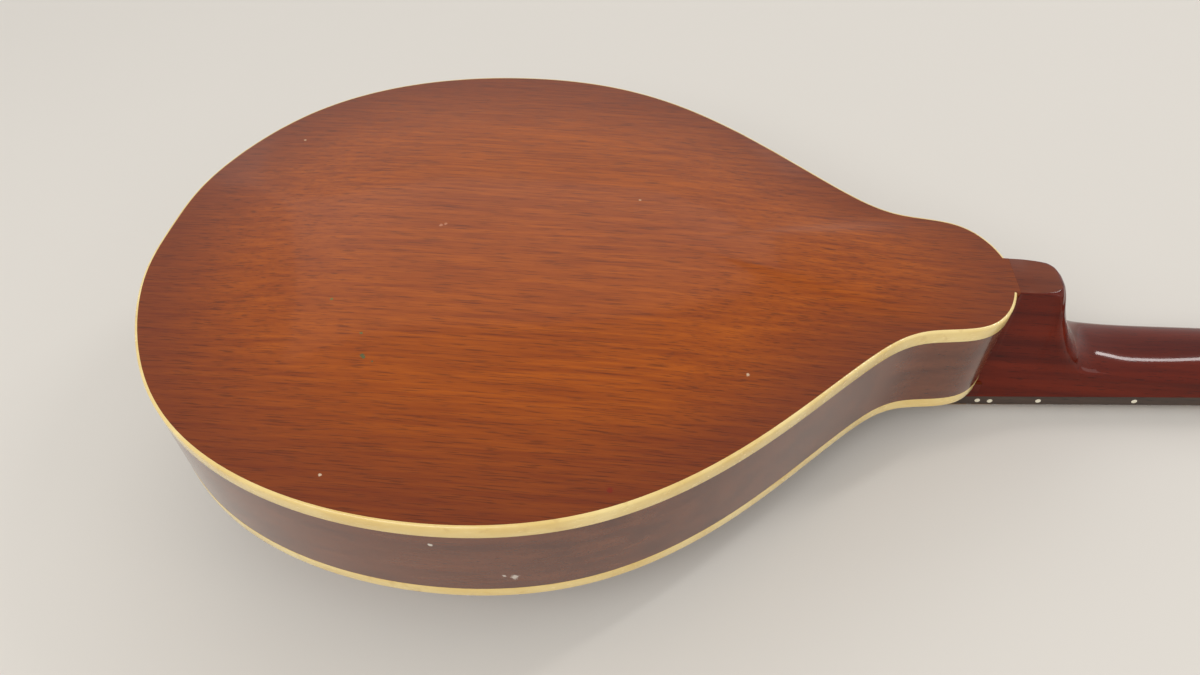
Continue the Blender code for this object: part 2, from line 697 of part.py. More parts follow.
def make_neck():
    heel_end = BODY_LENGTH + HEEL_LENGTH
    slope = math.tan(BOARD_SLOPE)
    # x, depth of the neck's back, depth of the side's edge, half width of the back
    stations = [(BOARD_END_X + NECK_UNDER_BOARD, 0.0, HEEL_EDGE, HEEL_HALF_WIDTH)]
    for share, edge, width in HEEL_CAP:
        stations.append((heel_end - share * HEEL_LENGTH, 0.0, edge, HEEL_HALF_WIDTH * width))
    for past, ridge, edge in HEEL_CURVE:
        stations.append((heel_end + past, ridge * BOARD_DEPTH, edge * BOARD_DEPTH, RIDGE_FLAT))
    first = heel_end + HEEL_SADDLE
    for share in np.linspace(0, 1, 5):
        x = first + (NUT_X - first) * share
        thickness = NECK_THICKNESS_AT_HEEL + (NECK_THICKNESS_AT_NUT - NECK_THICKNESS_AT_HEEL) * share
        side = NECK_SIDE_AT_HEEL + (NECK_SIDE_AT_NUT - NECK_SIDE_AT_HEEL) * share
        under = board_under_depth(x)
        stations.append((x, under - thickness, under - side, RIDGE_FLAT))
    fall = NECK_PAST_NUT * slope
    stations.append((NUT_X + NECK_PAST_NUT, stations[-1][1] - fall, stations[-1][2] - fall, RIDGE_FLAT))
    rings = []
    for x, back, edge, flat in stations:
        under = board_under_depth(min(x, NUT_X)) - GLUE_GAP
        if x > NUT_X:
            under -= (x - NUT_X) * math.tan(math.radians(HEAD_ANGLE)) + HEAD_STEP
        half = [(neck_side(x, under), under), (neck_side(x, edge), edge)]
        reach = neck_side(x, edge)
        for turn in (18, 36, 54, 72, 90):
            angle = math.radians(turn)
            y = flat + (reach - flat) * math.cos(angle)
            half.append((y, edge - (edge - back) * math.sin(angle)))
        rings.append([(x, y, -depth) for y, depth in half] + [(x, -y, -depth) for y, depth in reversed(half)])
    neck = add_object("neck", loft("neck", rings), looks["neck"], instrument)
    boolean(neck, add_cutter("BodySpace", body_space(), instrument))
    boolean(neck, add_cutter("ArchSpace", arch_space(), instrument))
    boolean(neck, add_cutter("Tenon", tenon_mesh(0.0), instrument), "UNION")
    outline = head_outline(0.0)
    plate = plate_from_outline("HeadPlate", outline, 0.0, HEAD_WALL)
    boolean(neck, add_cutter("HeadPlate", plate, headstock), "UNION")
    boolean(neck, rod_channel)
    boolean(neck, rod_pocket)
    boolean(neck, post_holes)


def head_outline(start):
    half = [(start + share * (HEAD_LENGTH - start), width) for share, width in HEAD_OUTLINE]
    return half + [(x, -y) for x, y in reversed(half)]


def body_space():
    """Everything that the neck leaves to the body, in front of its heel."""
    line, _ = half_body_outline()
    half = [(x, y) for x, y in line[::3] if x > BODY_LENGTH * 0.8 and y > HEEL_HALF_WIDTH]
    half = [(BODY_LENGTH * 0.7, BODY_WIDTH / 2)] + half
    moved = [(x + GLUE_GAP if y < BOARD_HALF_AT_HEEL * 2 else x, y + GLUE_GAP) for x, y in half]
    moved.append((BODY_LENGTH + GLUE_GAP, HEEL_HALF_WIDTH))
    outline = moved + [(x, -y) for x, y in reversed(moved)]
    return plate_from_outline("BodySpace", outline, -(BODY_DEPTH + GLUE_GAP), BACK_ARCH * 2)


def tenon_mesh(clearance):
    """The neck's tenon, or with a clearance the mortise that takes it."""
    far = (BODY_DEPTH + TENON_DEPTH) / 2
    near = far - TENON_DEPTH
    return box(
        "Tenon",
        (BODY_LENGTH - TENON_LENGTH - clearance, -TENON_WIDTH / 2 - clearance, -far - clearance),
        (BODY_LENGTH + HEEL_LENGTH * 0.4, TENON_WIDTH / 2 + clearance, -near + clearance),
    )


def arch_space():
    """The room that the neck's end leaves over the arch of the top."""
    rings = []
    half = BOARD_HALF_AT_HEEL * 2
    for share in (0.0, 0.2, 0.4, 0.6, 0.8, 1.0):
        x = BODY_LENGTH - 2 * MM + (BOARD_END_X - 10 * MM - BODY_LENGTH) * share
        front = top_surface_depth(x) + 2 * GLUE_GAP
        rings.append([(x, -half, -front), (x, half, -front), (x, half, BACK_ARCH), (x, -half, BACK_ARCH)])
    return loft("ArchSpace", rings)


def make_fingerboard():
    """The board with its frets, tapered towards the nut."""
    stations = [(BOARD_END_X, 0.0)]
    for number in range(FRET_COUNT, 0, -1):
        x = fret_x(number)
        half = FRET_WIDTH / 2
        crown = half * 0.45
        stations += [(x - half, 0.0), (x - crown, FRET_HEIGHT), (x + crown, FRET_HEIGHT), (x + half, 0.0)]
    stations.append((NUT_X, 0.0))
    rings = []
    for x, rise in stations:
        half = board_half_width(x)
        near, far = board_under_depth(x), board_top_depth(x) + rise
        rings.append([(x, -half, -near), (x, half, -near), (x, half, -far), (x, -half, -far)])
    add_object("fingerboard", loft("fingerboard", rings), looks["board"], instrument)


def make_nut():
    x = NUT_X + GLUE_GAP
    near = board_under_depth(NUT_X) + GLUE_GAP
    far = board_top_depth(NUT_X) + STRING_OVER_NUT - GLUE_GAP - max(STRING_DIAMETERS) / 2
    half = BOARD_HALF_AT_NUT
    rings = [
        [(x, -half, -near), (x, half, -near), (x, half, -far), (x, -half, -far)],
        [
            (x + NUT_LENGTH, -half, -near), (x + NUT_LENGTH, half, -near),
            (x + NUT_LENGTH, half, -far + NUT_FALL), (x + NUT_LENGTH, -half, -far + NUT_FALL),
        ],
    ]
    add_object("nut", loft("nut", rings), looks["bone"], instrument, smooth=False)


def make_truss_rod():
    reach = (NUT_X - BODY_LENGTH) / math.cos(BOARD_SLOPE) + NUT_LENGTH
    rod = turned("truss_rod", [(ROD_WIDTH / 2, reach - ROD_LENGTH), (ROD_WIDTH / 2, reach)], 10, "X")
    add_object("truss_rod", shift(rod, (0, 0, ROD_BURIED)), looks["steel"], board_frame)
    profile = [(ROD_NUT_RADIUS * 0.9, 0.0), (ROD_NUT_RADIUS, 1 * MM), (ROD_NUT_RADIUS, ROD_NUT_LENGTH)]
    nut = turned("truss_rod_nut", profile, 6, "X")
    made = add_object("truss_rod_nut", nut, looks["brass"], board_frame, smooth=False)
    made.location = (reach + SLIDE_GAP, 0, ROD_BURIED)


def make_head_plates():
    outline = head_outline(GLUE_GAP)
    veneer = plate_from_outline("headstock_veneer", outline, -VENEER_WALL - GLUE_GAP, -GLUE_GAP)
    made = add_object("headstock_veneer", veneer, looks["veneer"], headstock, smooth=False)
    boolean(made, rod_pocket)
    boolean(made, post_holes)
    cover_far = -VENEER_WALL - 2 * GLUE_GAP
    outline = ROD_COVER_OUTLINE + [(x, -y) for x, y in reversed(ROD_COVER_OUTLINE)]
    cover = plate_from_outline("truss_rod_cover", outline, cover_far - ROD_COVER_WALL, cover_far)
    add_object("truss_rod_cover", cover, looks["cover"], headstock, smooth=False)


def plate_top():
    return HEAD_WALL + GLUE_GAP + PLATE_WALL


def make_tuners():
    worm_x = GEAR_RADIUS + TOOTH_HEIGHT + WORM_RADIUS + SLIDE_GAP
    worm_z = WORM_RADIUS + WORM_OVER_PLATE
    gear_low = worm_z - GEAR_WALL / 2
    lug_at = WORM_LENGTH / 2 + SLIDE_GAP
    for name, side in (("bass", -1), ("treble", 1)):
        first, last = FIRST_POST_X, FIRST_POST_X + (POST_COUNT - 1) * POST_PITCH
        low = (first - PLATE_MARGIN, side * POST_Y - PLATE_WIDTH / 2, HEAD_WALL + GLUE_GAP)
        high = (last + PLATE_MARGIN + 4 * MM, side * POST_Y + PLATE_WIDTH / 2, plate_top())
        plate = add_object("tuner_plate_" + name, box("Plate", low, high), looks["nickel"], headstock, False)
        plate.data.name = "tuner_plate_" + name
        boolean(plate, post_holes)
        lugs, bores = [], []
        for number in range(POST_COUNT):
            x = first + number * POST_PITCH + worm_x
            for direction in (-1, 1):
                near = side * POST_Y + direction * lug_at
                far = near + direction * LUG_WALL
                low_y, high_y = min(near, far), max(near, far)
                low = (x - LUG_WIDTH / 2, low_y, plate_top() - PLATE_WALL / 2)
                high = (x + LUG_WIDTH / 2, high_y, plate_top() + worm_z + LUG_OVER_WORM)
                lugs.append(box("Lug", low, high))
            reach = lug_at + LUG_WALL * 2
            radius = SHAFT_RADIUS + SLIDE_GAP
            bore = turned("Bore", [(radius, side * POST_Y - reach), (radius, side * POST_Y + reach)], 8, "Y")
            bores.append(shift(bore, (x, 0, plate_top() + worm_z)))
        boolean(plate, add_cutter("Lugs", joined("Lugs", lugs), headstock), "UNION")
        boolean(plate, add_cutter("Bores", joined("Bores", bores), headstock))
        for number in range(POST_COUNT):
            label = f"{name}_{number + 1}"
            x = first + number * POST_PITCH
            post = add_object("tuner_post_" + label, post_mesh(gear_low), looks["nickel"], headstock)
            post.location = (x, side * POST_Y, 0)
            key = add_object("tuner_key_" + label, key_mesh(side), looks["button"], headstock)
            key.location = (x + worm_x, side * POST_Y, plate_top() + worm_z)


def joined(name, meshes):
    """Several closed meshes in one, used only as a cutter or to be united with a piece."""
    work = bmesh.new()
    for mesh in meshes:
        work.from_mesh(mesh)
    made = bpy.data.meshes.new(name)
    work.to_mesh(made)
    work.free()
    return made


def post_mesh(gear_low):
    """A post with its toothed gear, which lies over the plate."""
    sides = 2 * GEAR_TEETH
    low = plate_top() + gear_low
    levels = [
        (-POST_REACH, POST_RADIUS, 0.0), (low, POST_RADIUS, 0.0), (low, GEAR_RADIUS, TOOTH_HEIGHT),
        (low + GEAR_WALL, GEAR_RADIUS, TOOTH_HEIGHT),
        (low + GEAR_WALL, POST_END_RADIUS, 0.0), (low + GEAR_WALL + POST_BOSS, POST_END_RADIUS * 0.8, 0.0),
    ]
    rings = []
    for z, radius, tooth in levels:
        ring = []
        for i in range(sides):
            reach = radius + (tooth if i % 2 else 0.0)
            turn = 2 * math.pi * i / sides
            ring.append((-reach * math.cos(turn), -reach * math.sin(turn), z))
        rings.append(ring)
    return loft("tuner_post", rings)


def key_mesh(side):
    """The worm, its shaft and the button on its outer end, about local Y."""
    half = WORM_LENGTH / 2
    groove = WORM_RADIUS - THREAD_DEPTH
    button = button_y() - POST_Y
    rings = [(-half - LUG_WALL - 1.0 * MM, SHAFT_RADIUS, SHAFT_RADIUS), (-half, SHAFT_RADIUS, SHAFT_RADIUS)]
    pitch = WORM_LENGTH / THREAD_COUNT
    for turn in range(THREAD_COUNT):
        at = -half + turn * pitch
        rings += [(at, WORM_RADIUS, WORM_RADIUS), (at + pitch / 2, groove, groove)]
    rings += [(half, WORM_RADIUS, WORM_RADIUS), (half, SHAFT_RADIUS, SHAFT_RADIUS)]
    wide, thick = BUTTON_WIDTH / 2, BUTTON_WALL / 2
    rings += [(button, SHAFT_RADIUS, SHAFT_RADIUS), (button, 2.4 * MM, 2.4 * MM)]
    for along, share in ((0.18, 0.62), (0.45, 0.97), (0.72, 1.0), (0.92, 0.78), (1.0, 0.45)):
        rings.append((button + along * BUTTON_LENGTH, wide * share, thick * share))
    sides = 8
    points = []
    for y, a, b in rings:
        ring = [
            (a * math.cos(2 * math.pi * i / sides), side * y, b * math.sin(2 * math.pi * i / sides))
            for i in range(sides)
        ]
        points.append(ring)
    return loft("tuner_key", points)


def button_y():
    """Distance of every button from the centre line."""
    return max(width for _, width in HEAD_OUTLINE) + BUTTON_CLEARANCE


def head_to_instrument(x, y, z):
    """A point of the headstock's frame in the instrument's frame."""
    return headstock.matrix_local @ Vector((x, y, z))


def string_post(index):
    """Headstock x and y of the post that winds a string, outer courses on the posts nearest the nut."""
    side = 1 if index < 4 else -1
    number = index if index < 4 else 7 - index
    return FIRST_POST_X + number * POST_PITCH, side * POST_Y


def make_strings():
    at_nut = string_offsets(SPREAD_AT_NUT)
    at_saddle = string_offsets(SPREAD_AT_SADDLE)
    names = ("e1", "e2", "a1", "a2", "d1", "d2", "g1", "g2")
    for index, diameter in enumerate(STRING_DIAMETERS):
        post_x, post_y = string_post(index)
        side = 1 if post_y > 0 else -1
        stop_y = post_y - side * (POST_RADIUS + 2 * GLUE_GAP + diameter / 2)
        end = head_to_instrument(post_x, stop_y, -(VENEER_WALL + 6.0 * MM))
        tail_y = at_saddle[index] * TAIL_SPREAD
        points = [
            (HOOK_ROW_X + 2 * HOOK_HALF + GLUE_GAP, tail_y, -hook_depth()),
            (SADDLE_X, at_saddle[index], -string_depth(SADDLE_X)),
            (NUT_X, at_nut[index], -string_depth(NUT_X)),
            (NUT_X + NUT_LENGTH / 2, at_nut[index], -string_depth(NUT_X) + 0.1 * MM),
            tuple(end),
        ]
        curve = bpy.data.curves.new("string_" + names[index], "CURVE")
        curve.dimensions = "3D"
        curve.bevel_depth = diameter / 2
        curve.bevel_resolution = 1
        curve.use_fill_caps = True
        spline = curve.splines.new("POLY")
        spline.points.add(len(points) - 1)
        for point, place in zip(spline.points, points):
            point.co = (*place, 1.0)
        made = bpy.data.objects.new("string_" + names[index], curve)
        parts.objects.link(made)
        made.parent = instrument
        curve.materials.append(looks["string"])


def hook_depth():
    return BODY_DEPTH + TAIL_RISE + STRING_OVER_TAIL


def saddle_top():
    """Depth of the saddle's proud edge, which the instrument rests on."""
    return string_depth(SADDLE_X) + max(STRING_DIAMETERS) / 2 + SADDLE_OVER_STRING


def make_bridge():
    x = SADDLE_X
    top = saddle_top()
    bottom = top - SADDLE_HEIGHT
    offsets = sorted(string_offsets(SPREAD_AT_SADDLE))
    floor = string_depth(x) - max(STRING_DIAMETERS) / 2 - GLUE_GAP
    half, crown = SADDLE_LENGTH / 2, SPREAD_AT_SADDLE / 2 + SADDLE_SHOULDER
    low, shoulder = bottom + SADDLE_SHOULDER, top - SADDLE_SHOULDER
    outline = [(-half, low), (-half + SADDLE_SHOULDER, shoulder), (-crown, top)]
    for y in offsets:
        outline += [(y - NOTCH_HALF, top), (y - NOTCH_FLOOR_HALF, floor),
                    (y + NOTCH_FLOOR_HALF, floor), (y + NOTCH_HALF, top)]
    outline += [(crown, top), (half - SADDLE_SHOULDER, shoulder)]
    outline += [(half, low), (half, bottom), (-half, bottom)]
    rings = [[(x + dx, y, -depth) for y, depth in outline] for dx in (-SADDLE_WALL / 2, SADDLE_WALL / 2)]
    saddle = add_object("bridge_saddle", loft("bridge_saddle", rings), looks["rosewood"], instrument, False)
    boolean(saddle, stud_bores)
    wheel_far = bottom - SLIDE_GAP
    base_top = wheel_far - WHEEL_HEIGHT - SADDLE_TRAVEL - SLIDE_GAP
    rings = []
    for y in np.linspace(-BASE_LENGTH / 2, BASE_LENGTH / 2, 17):
        glued = surface_depth(x, abs(y)) + GLUE_GAP
        relief = ARCHWAY if abs(y) < BASE_LENGTH * 0.2 else 0.0
        share = abs(y) / (BASE_LENGTH / 2)
        past = max(0.0, share - BASE_FLAT_SHARE) / (1 - BASE_FLAT_SHARE)
        over = base_top - (base_top - glued - BASE_END) * past
        wall = BASE_WALL / 2
        crest = wall * 0.62
        rings.append([(x - wall, y, -glued - relief), (x + wall, y, -glued - relief),
                      (x + crest, y, -over), (x - crest, y, -over)])
    base = add_object("bridge_base", loft("bridge_base", rings), looks["rosewood"], instrument, False)
    boolean(base, stud_bores)
    for name, side in (("bass", -1), ("treble", 1)):
        y = side * STUD_SPREAD / 2
        middle = -wheel_far + WHEEL_HEIGHT / 2
        profile = [(WHEEL_RADIUS, -WHEEL_HEIGHT / 2), (WHEEL_RADIUS, WHEEL_HEIGHT / 2)]
        wheel = turned("thumbwheel", profile, 18)
        made = add_object("thumbwheel_" + name, wheel, looks["brass"], instrument, False)
        made.location = (x, y, middle)
        radius = STUD_RADIUS + SLIDE_GAP
        bore = turned("WheelBore", [(radius, -WHEEL_HEIGHT), (radius, WHEEL_HEIGHT)], 12)
        boolean(made, add_cutter("WheelBore", shift(bore, (x, y, middle)), instrument))
        low, high = -(bottom + STUD_IN_SADDLE), -(base_top - STUD_IN_BASE)
        stud = turned("stud", [(STUD_RADIUS, low), (STUD_RADIUS, high)], 12)
        add_object("bridge_stud_" + name, shift(stud, (x, y, 0)), looks["brass"], instrument)


def make_stud_bores():
    """Blind bores for the two studs, in the saddle and in the base."""
    bottom = saddle_top() - SADDLE_HEIGHT
    base_top = bottom - 2 * SLIDE_GAP - WHEEL_HEIGHT - SADDLE_TRAVEL
    bores = []
    for side in (-1, 1):
        radius = STUD_RADIUS + SLIDE_GAP
        far = bottom + STUD_IN_SADDLE + SADDLE_TRAVEL + GLUE_GAP
        near = base_top - STUD_IN_BASE - GLUE_GAP
        bore = turned("StudBore", [(radius, -far), (radius, -near)], 12)
        bores.append(shift(bore, (SADDLE_X, side * STUD_SPREAD / 2, 0)))
    return joined("StudBores", bores)


def make_tailpiece():
    half = TAIL_WIDTH / 2
    outer = -GLUE_GAP - TAIL_WALL
    face = BODY_DEPTH + TAIL_RISE
    profile = [
        (-GLUE_GAP, TAIL_LOW), (outer, TAIL_LOW), (outer, face - TAIL_BEND), (outer + TAIL_BEND, face),
        (outer + TAIL_LENGTH * 0.5, face), (outer + TAIL_LENGTH * 0.5, face - TAIL_WALL),
        (-GLUE_GAP + TAIL_BEND, face - TAIL_WALL), (-GLUE_GAP, face - TAIL_WALL - TAIL_BEND),
    ]
    rings = [[(x, y, -depth) for x, depth in profile] for y in (-half, half)]
    tail = add_object("tailpiece", loft("tailpiece", rings), looks["nickel"], instrument, False)
    hooks = []
    for y in string_offsets(SPREAD_AT_SADDLE):
        low = (HOOK_ROW_X - HOOK_HALF, y * TAIL_SPREAD - HOOK_HALF, -(face + HOOK_REACH))
        high = (HOOK_ROW_X + HOOK_HALF, y * TAIL_SPREAD + HOOK_HALF, -(face - TAIL_WALL / 2))
        hooks.append(box("Hook", low, high))
    boolean(tail, add_cutter("Hooks", joined("Hooks", hooks), instrument), "UNION")
    boolean(tail, pin_hole)
    make_tail_cover(outer, face)
    head = -(GLUE_GAP * 2 + TAIL_WALL)
    profile = [(PIN_RADIUS * width, head - PIN_HEAD * share) for share, width in PIN_PROFILE]
    profile += [(PIN_SHAFT_RADIUS, head), (PIN_SHAFT_RADIUS, PIN_LENGTH)]
    pin = turned("end_pin", profile, 16, "X")
    add_object("end_pin", shift(pin, (0, 0, -PIN_DEPTH)), looks["cover"], instrument)


def make_tail_cover(outer, face):
    """A lid over the string hooks: an open box that slides off over the tail end."""
    half = COVER_WIDTH / 2
    tail = outer - SLIDE_GAP - COVER_WALL
    front = tail + COVER_LENGTH
    far = face + COVER_RISE
    far_front = tail_string_depth(front) + max(STRING_DIAMETERS) / 2 + 4 * GLUE_GAP + COVER_WALL
    near = face - TAIL_WALL - COVER_LIP
    bend = tail + COVER_BEND
    shell = [
        [(tail, y, -near), (tail, y, -(far - COVER_BEND)), (bend, y, -far), (front, y, -far_front),
         (front, y, -near)]
        for y in (-half, half)
    ]
    inner_half = half - COVER_WALL
    past = 5.0 * MM
    slope = (far_front - far) / (front - bend)
    inner_tail = tail + COVER_WALL
    round_off = COVER_BEND - COVER_WALL * 0.4
    hollow = [
        [(inner_tail, y, -(near - past)), (inner_tail, y, -(far - COVER_WALL - round_off)),
         (inner_tail + round_off, y, -(far - COVER_WALL)),
         (front + past, y, -(far_front - COVER_WALL + slope * past)), (front + past, y, -(near - past))]
        for y in (-inner_half, inner_half)
    ]
    cover = add_object("tailpiece_cover", loft("tailpiece_cover", shell), looks["nickel"], instrument, False)
    boolean(cover, add_cutter("CoverHollow", loft("CoverHollow", hollow), instrument))


def tail_string_depth(x):
    """Depth of the strings between the tailpiece's hooks and the saddle."""
    share = (x - HOOK_ROW_X) / (SADDLE_X - HOOK_ROW_X)
    return hook_depth() + (string_depth(SADDLE_X) - hook_depth()) * share


def make_pickguard():
    far = board_top_depth(BOARD_END_X) - BOARD_WALL * 0.2
    near = far - GUARD_WALL
    half = board_half_width
    tip = BOARD_END_X + GUARD_REACH
    outline = [(tip, half(tip) + GUARD_GAP), (BOARD_END_X, half(BOARD_END_X) + GUARD_GAP)]
    outline += [(BOARD_END_X + x, y) for x, y in GUARD_OUTLINE] + [(tip, half(tip) + GUARD_TIP)]
    guard = plate_from_outline("pickguard", outline, -far, -near)
    add_object("pickguard", guard, looks["shell"], instrument, False)
    under = near - GLUE_GAP
    foot = BRACKET_Y + BRACKET_FOOT
    wall = BRACKET_WALL
    turn, hook, claw = BODY_DEPTH + 3.0 * MM, BODY_DEPTH - 1 * MM, BODY_DEPTH - BRACKET_CLAW
    rings = []
    for x in (BRACKET_X - BRACKET_WIDTH / 2, BRACKET_X + BRACKET_WIDTH / 2):
        rim = half_width_at(x) + GLUE_GAP * 1.5
        ring = [
            (BRACKET_Y, under), (foot, under), (rim + wall * 0.4, turn), (rim + wall, hook),
            (rim + wall, claw), (rim, claw), (rim, hook), (rim - wall * 0.6, turn - wall),
            (foot, under - wall), (BRACKET_Y, under - wall),
        ]
        rings.append([(x, y, -depth) for y, depth in ring])
    add_object("pickguard_bracket", loft("pickguard_bracket", rings), looks["nickel"], instrument, False)


def lying_angle():
    """Turn about Y that brings the saddle's edge and the first posts' tips onto one floor."""
    saddle = Vector((SADDLE_X + SADDLE_WALL / 2, 0, -saddle_top()))
    tip = head_to_instrument(FIRST_POST_X - POST_RADIUS, 0, -POST_REACH)
    return math.atan2(tip.z - saddle.z, tip.x - saddle.x)


def make_empties():
    """The instrument's own frame, with the fingerboard's and the headstock's frames in it."""
    made = []
    for name in ("Instrument", "BoardFrame", "HeadstockFrame"):
        empty = bpy.data.objects.new(name, None)
        parts.objects.link(empty)
        made.append(empty)
    body, board, head = made
    board.parent = body
    board.location = (BODY_LENGTH, 0, -BOARD_DEPTH)
    board.rotation_euler = (0, -BOARD_SLOPE, 0)
    head.parent = body
    head.location = (NUT_X + NUT_LENGTH + 2 * GLUE_GAP, 0, -(board_under_depth(NUT_X) + VENEER_STEP))
    head.rotation_euler = (0, -(BOARD_SLOPE + math.radians(HEAD_ANGLE)), 0)
    bpy.context.view_layer.update()
    return made


def inside_mesh():
    """The space inside the ribs, through the whole depth of the body."""
    outline = plate_outline(RIB_WALL + GLUE_GAP, HEEL_HALF_WIDTH)
    return plate_from_outline("Inside", outline, -BODY_DEPTH - TOP_ARCH, BACK_ARCH)


def rod_meshes():
    """The truss rod's channel under the fingerboard, and the pocket that its nut turns in."""
    reach = (NUT_X - BODY_LENGTH) / math.cos(BOARD_SLOPE) + NUT_LENGTH
    wide = ROD_WIDTH / 2 + GLUE_GAP
    start = reach - ROD_LENGTH - GLUE_GAP
    channel = box("RodChannel", (start, -wide, -ROD_CUT), (reach + 2 * MM, wide, ROD_BURIED + wide))
    half = ROD_POCKET_WIDTH / 2
    deep = ROD_BURIED + ROD_NUT_RADIUS + 1.2 * MM
    pocket = box("RodPocket", (reach + GLUE_GAP, -half, -ROD_CUT), (reach + ROD_POCKET_LENGTH, half, deep))
    return channel, pocket


def post_hole_mesh():
    holes = []
    for side in (-1, 1):
        for number in range(POST_COUNT):
            radius = POST_RADIUS + TURN_GAP
            hole = turned("PostHole", [(radius, -VENEER_WALL * 4), (radius, plate_top() + 6 * MM)], 14)
            holes.append(shift(hole, (FIRST_POST_X + number * POST_PITCH, side * POST_Y, 0)))
    return joined("PostHoles", holes)


def put_on_floor():
    """Lays the instrument on z = 0 and centres it along the floor."""
    instrument.rotation_euler = (0, lying_angle(), 0)
    bpy.context.view_layer.update()
    graph = bpy.context.evaluated_depsgraph_get()
    low, high = Vector((9, 9, 9)), Vector((-9, -9, -9))
    for piece in parts.objects:
        if piece.type == "EMPTY":
            continue
        shape = piece.evaluated_get(graph)
        mesh = shape.to_mesh()
        for vertex in mesh.vertices:
            place = shape.matrix_world @ vertex.co
            for i in range(3):
                low[i] = min(low[i], place[i])
                high[i] = max(high[i], place[i])
        shape.to_mesh_clear()
    instrument.location = (-(low.x + high.x) / 2, -(low.y + high.y) / 2, -low.z)


clear_scene()
parts = new_collection("Mandolin")
cutters = new_collection("Cutters", hidden=True)
looks = {
    "back": material("Back mahogany", (0.33, 0.085, 0.018), 0.16),
    "rib": material("Rib mahogany", (0.16, 0.055, 0.03), 0.2),
    "top": material("Sunburst spruce", (0.42, 0.17, 0.05), 0.2),
    "binding": material("Ivory binding", (0.84, 0.69, 0.26), 0.28),
    "lining": material("Lining", (0.5, 0.34, 0.2), 0.7),
    "block": material("Inner wood", (0.55, 0.4, 0.25), 0.7),
    "neck": material("Neck mahogany", (0.15, 0.022, 0.012), 0.12),
    "board": material("Rosewood board", (0.035, 0.02, 0.014), 0.4),
    "rosewood": material("Bridge rosewood", (0.05, 0.028, 0.018), 0.35),
    "veneer": material("Black veneer", (0.008, 0.008, 0.008), 0.15),
    "bone": material("Bone", (0.8, 0.76, 0.62), 0.35),
    "steel": material("Steel", (0.45, 0.45, 0.46), 0.4, 1.0),
    "brass": material("Brass", (0.6, 0.44, 0.2), 0.3, 1.0),
    "nickel": material("Nickel", (0.6, 0.58, 0.54), 0.25, 1.0),
    "string": material("String", (0.55, 0.52, 0.46), 0.35, 1.0),
    "button": material("Cream button", (0.8, 0.72, 0.52), 0.3),
    "cover": material("Black plastic", (0.012, 0.012, 0.012), 0.25),
    "shell": material("Tortoise pickguard", (0.05, 0.016, 0.01), 0.15),
}
instrument, board_frame, headstock = make_empties()
inside = add_cutter("Inside", inside_mesh(), instrument)
mortise = add_cutter("Mortise", tenon_mesh(GLUE_GAP), instrument)
pin_bore = PIN_SHAFT_RADIUS + GLUE_GAP
pin_mesh = turned("PinHole", [(pin_bore, -PIN_LENGTH), (pin_bore, PIN_LENGTH + GLUE_GAP)], 12, "X")
pin_hole = add_cutter("PinHole", shift(pin_mesh, (0, 0, -PIN_DEPTH)), instrument)
channel_mesh, pocket_mesh = rod_meshes()
rod_channel = add_cutter("RodChannel", channel_mesh, board_frame)
rod_pocket = add_cutter("RodPocket", pocket_mesh, board_frame)
post_holes = add_cutter("PostHoles", post_hole_mesh(), headstock)
stud_bores = add_cutter("StudBores", make_stud_bores(), instrument)

top_plate = make_body()
make_sound_holes(top_plate)
make_tone_bars()
make_neck()
make_fingerboard()
make_nut()
make_truss_rod()
make_head_plates()
make_tuners()
make_bridge()
make_tailpiece()
make_pickguard()
make_strings()
put_on_floor()
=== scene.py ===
import math

import bmesh
import bpy
import numpy as np
from mathutils import Matrix, Vector


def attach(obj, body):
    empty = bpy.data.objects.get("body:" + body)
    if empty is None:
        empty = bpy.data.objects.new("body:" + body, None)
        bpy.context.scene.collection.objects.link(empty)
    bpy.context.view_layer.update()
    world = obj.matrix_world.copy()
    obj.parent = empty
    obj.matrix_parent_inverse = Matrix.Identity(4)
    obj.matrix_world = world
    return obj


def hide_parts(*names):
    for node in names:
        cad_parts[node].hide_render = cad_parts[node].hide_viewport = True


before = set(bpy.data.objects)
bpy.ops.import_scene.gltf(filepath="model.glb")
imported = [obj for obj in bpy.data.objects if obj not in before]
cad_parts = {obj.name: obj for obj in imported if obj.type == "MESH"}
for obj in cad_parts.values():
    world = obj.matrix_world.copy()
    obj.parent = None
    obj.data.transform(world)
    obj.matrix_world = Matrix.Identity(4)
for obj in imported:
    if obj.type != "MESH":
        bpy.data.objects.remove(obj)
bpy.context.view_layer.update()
scene = bpy.context.scene
print("frame in, nodes:", len(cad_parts))

# Shapes are made in millimetres in the instrument's own frame: x from the tail end of the body,
# y from the centre line, z = -depth, where depth runs from the edge of the back to the front.
lying = {"x": -0.3216666, "z": 0.0891393, "turn": 0.0778136}
body = {"length": 342.8, "half": 130.0, "depth": 45.2, "backArch": 6.5, "topArch": 12.5}
scale = {
    "length": 352.4, "nut": 516.0, "frets": 20, "slope": 0.073, "boardDepth": 52.7, "boardWall": 5.5,
}
headstock = {"angle": 14.0, "x": 521.2, "depth": 41.03, "length": 142.0}

instrument = Matrix.Translation((lying["x"], 0, lying["z"])) @ Matrix.Rotation(lying["turn"], 4, "Y")
bodyFrame = instrument @ Matrix.Scale(0.001, 4)
headTurn = -(scale["slope"] + math.radians(headstock["angle"]))
headFrame = (bodyFrame @ Matrix.Translation((headstock["x"], 0, -headstock["depth"]))
             @ Matrix.Rotation(headTurn, 4, "Y"))


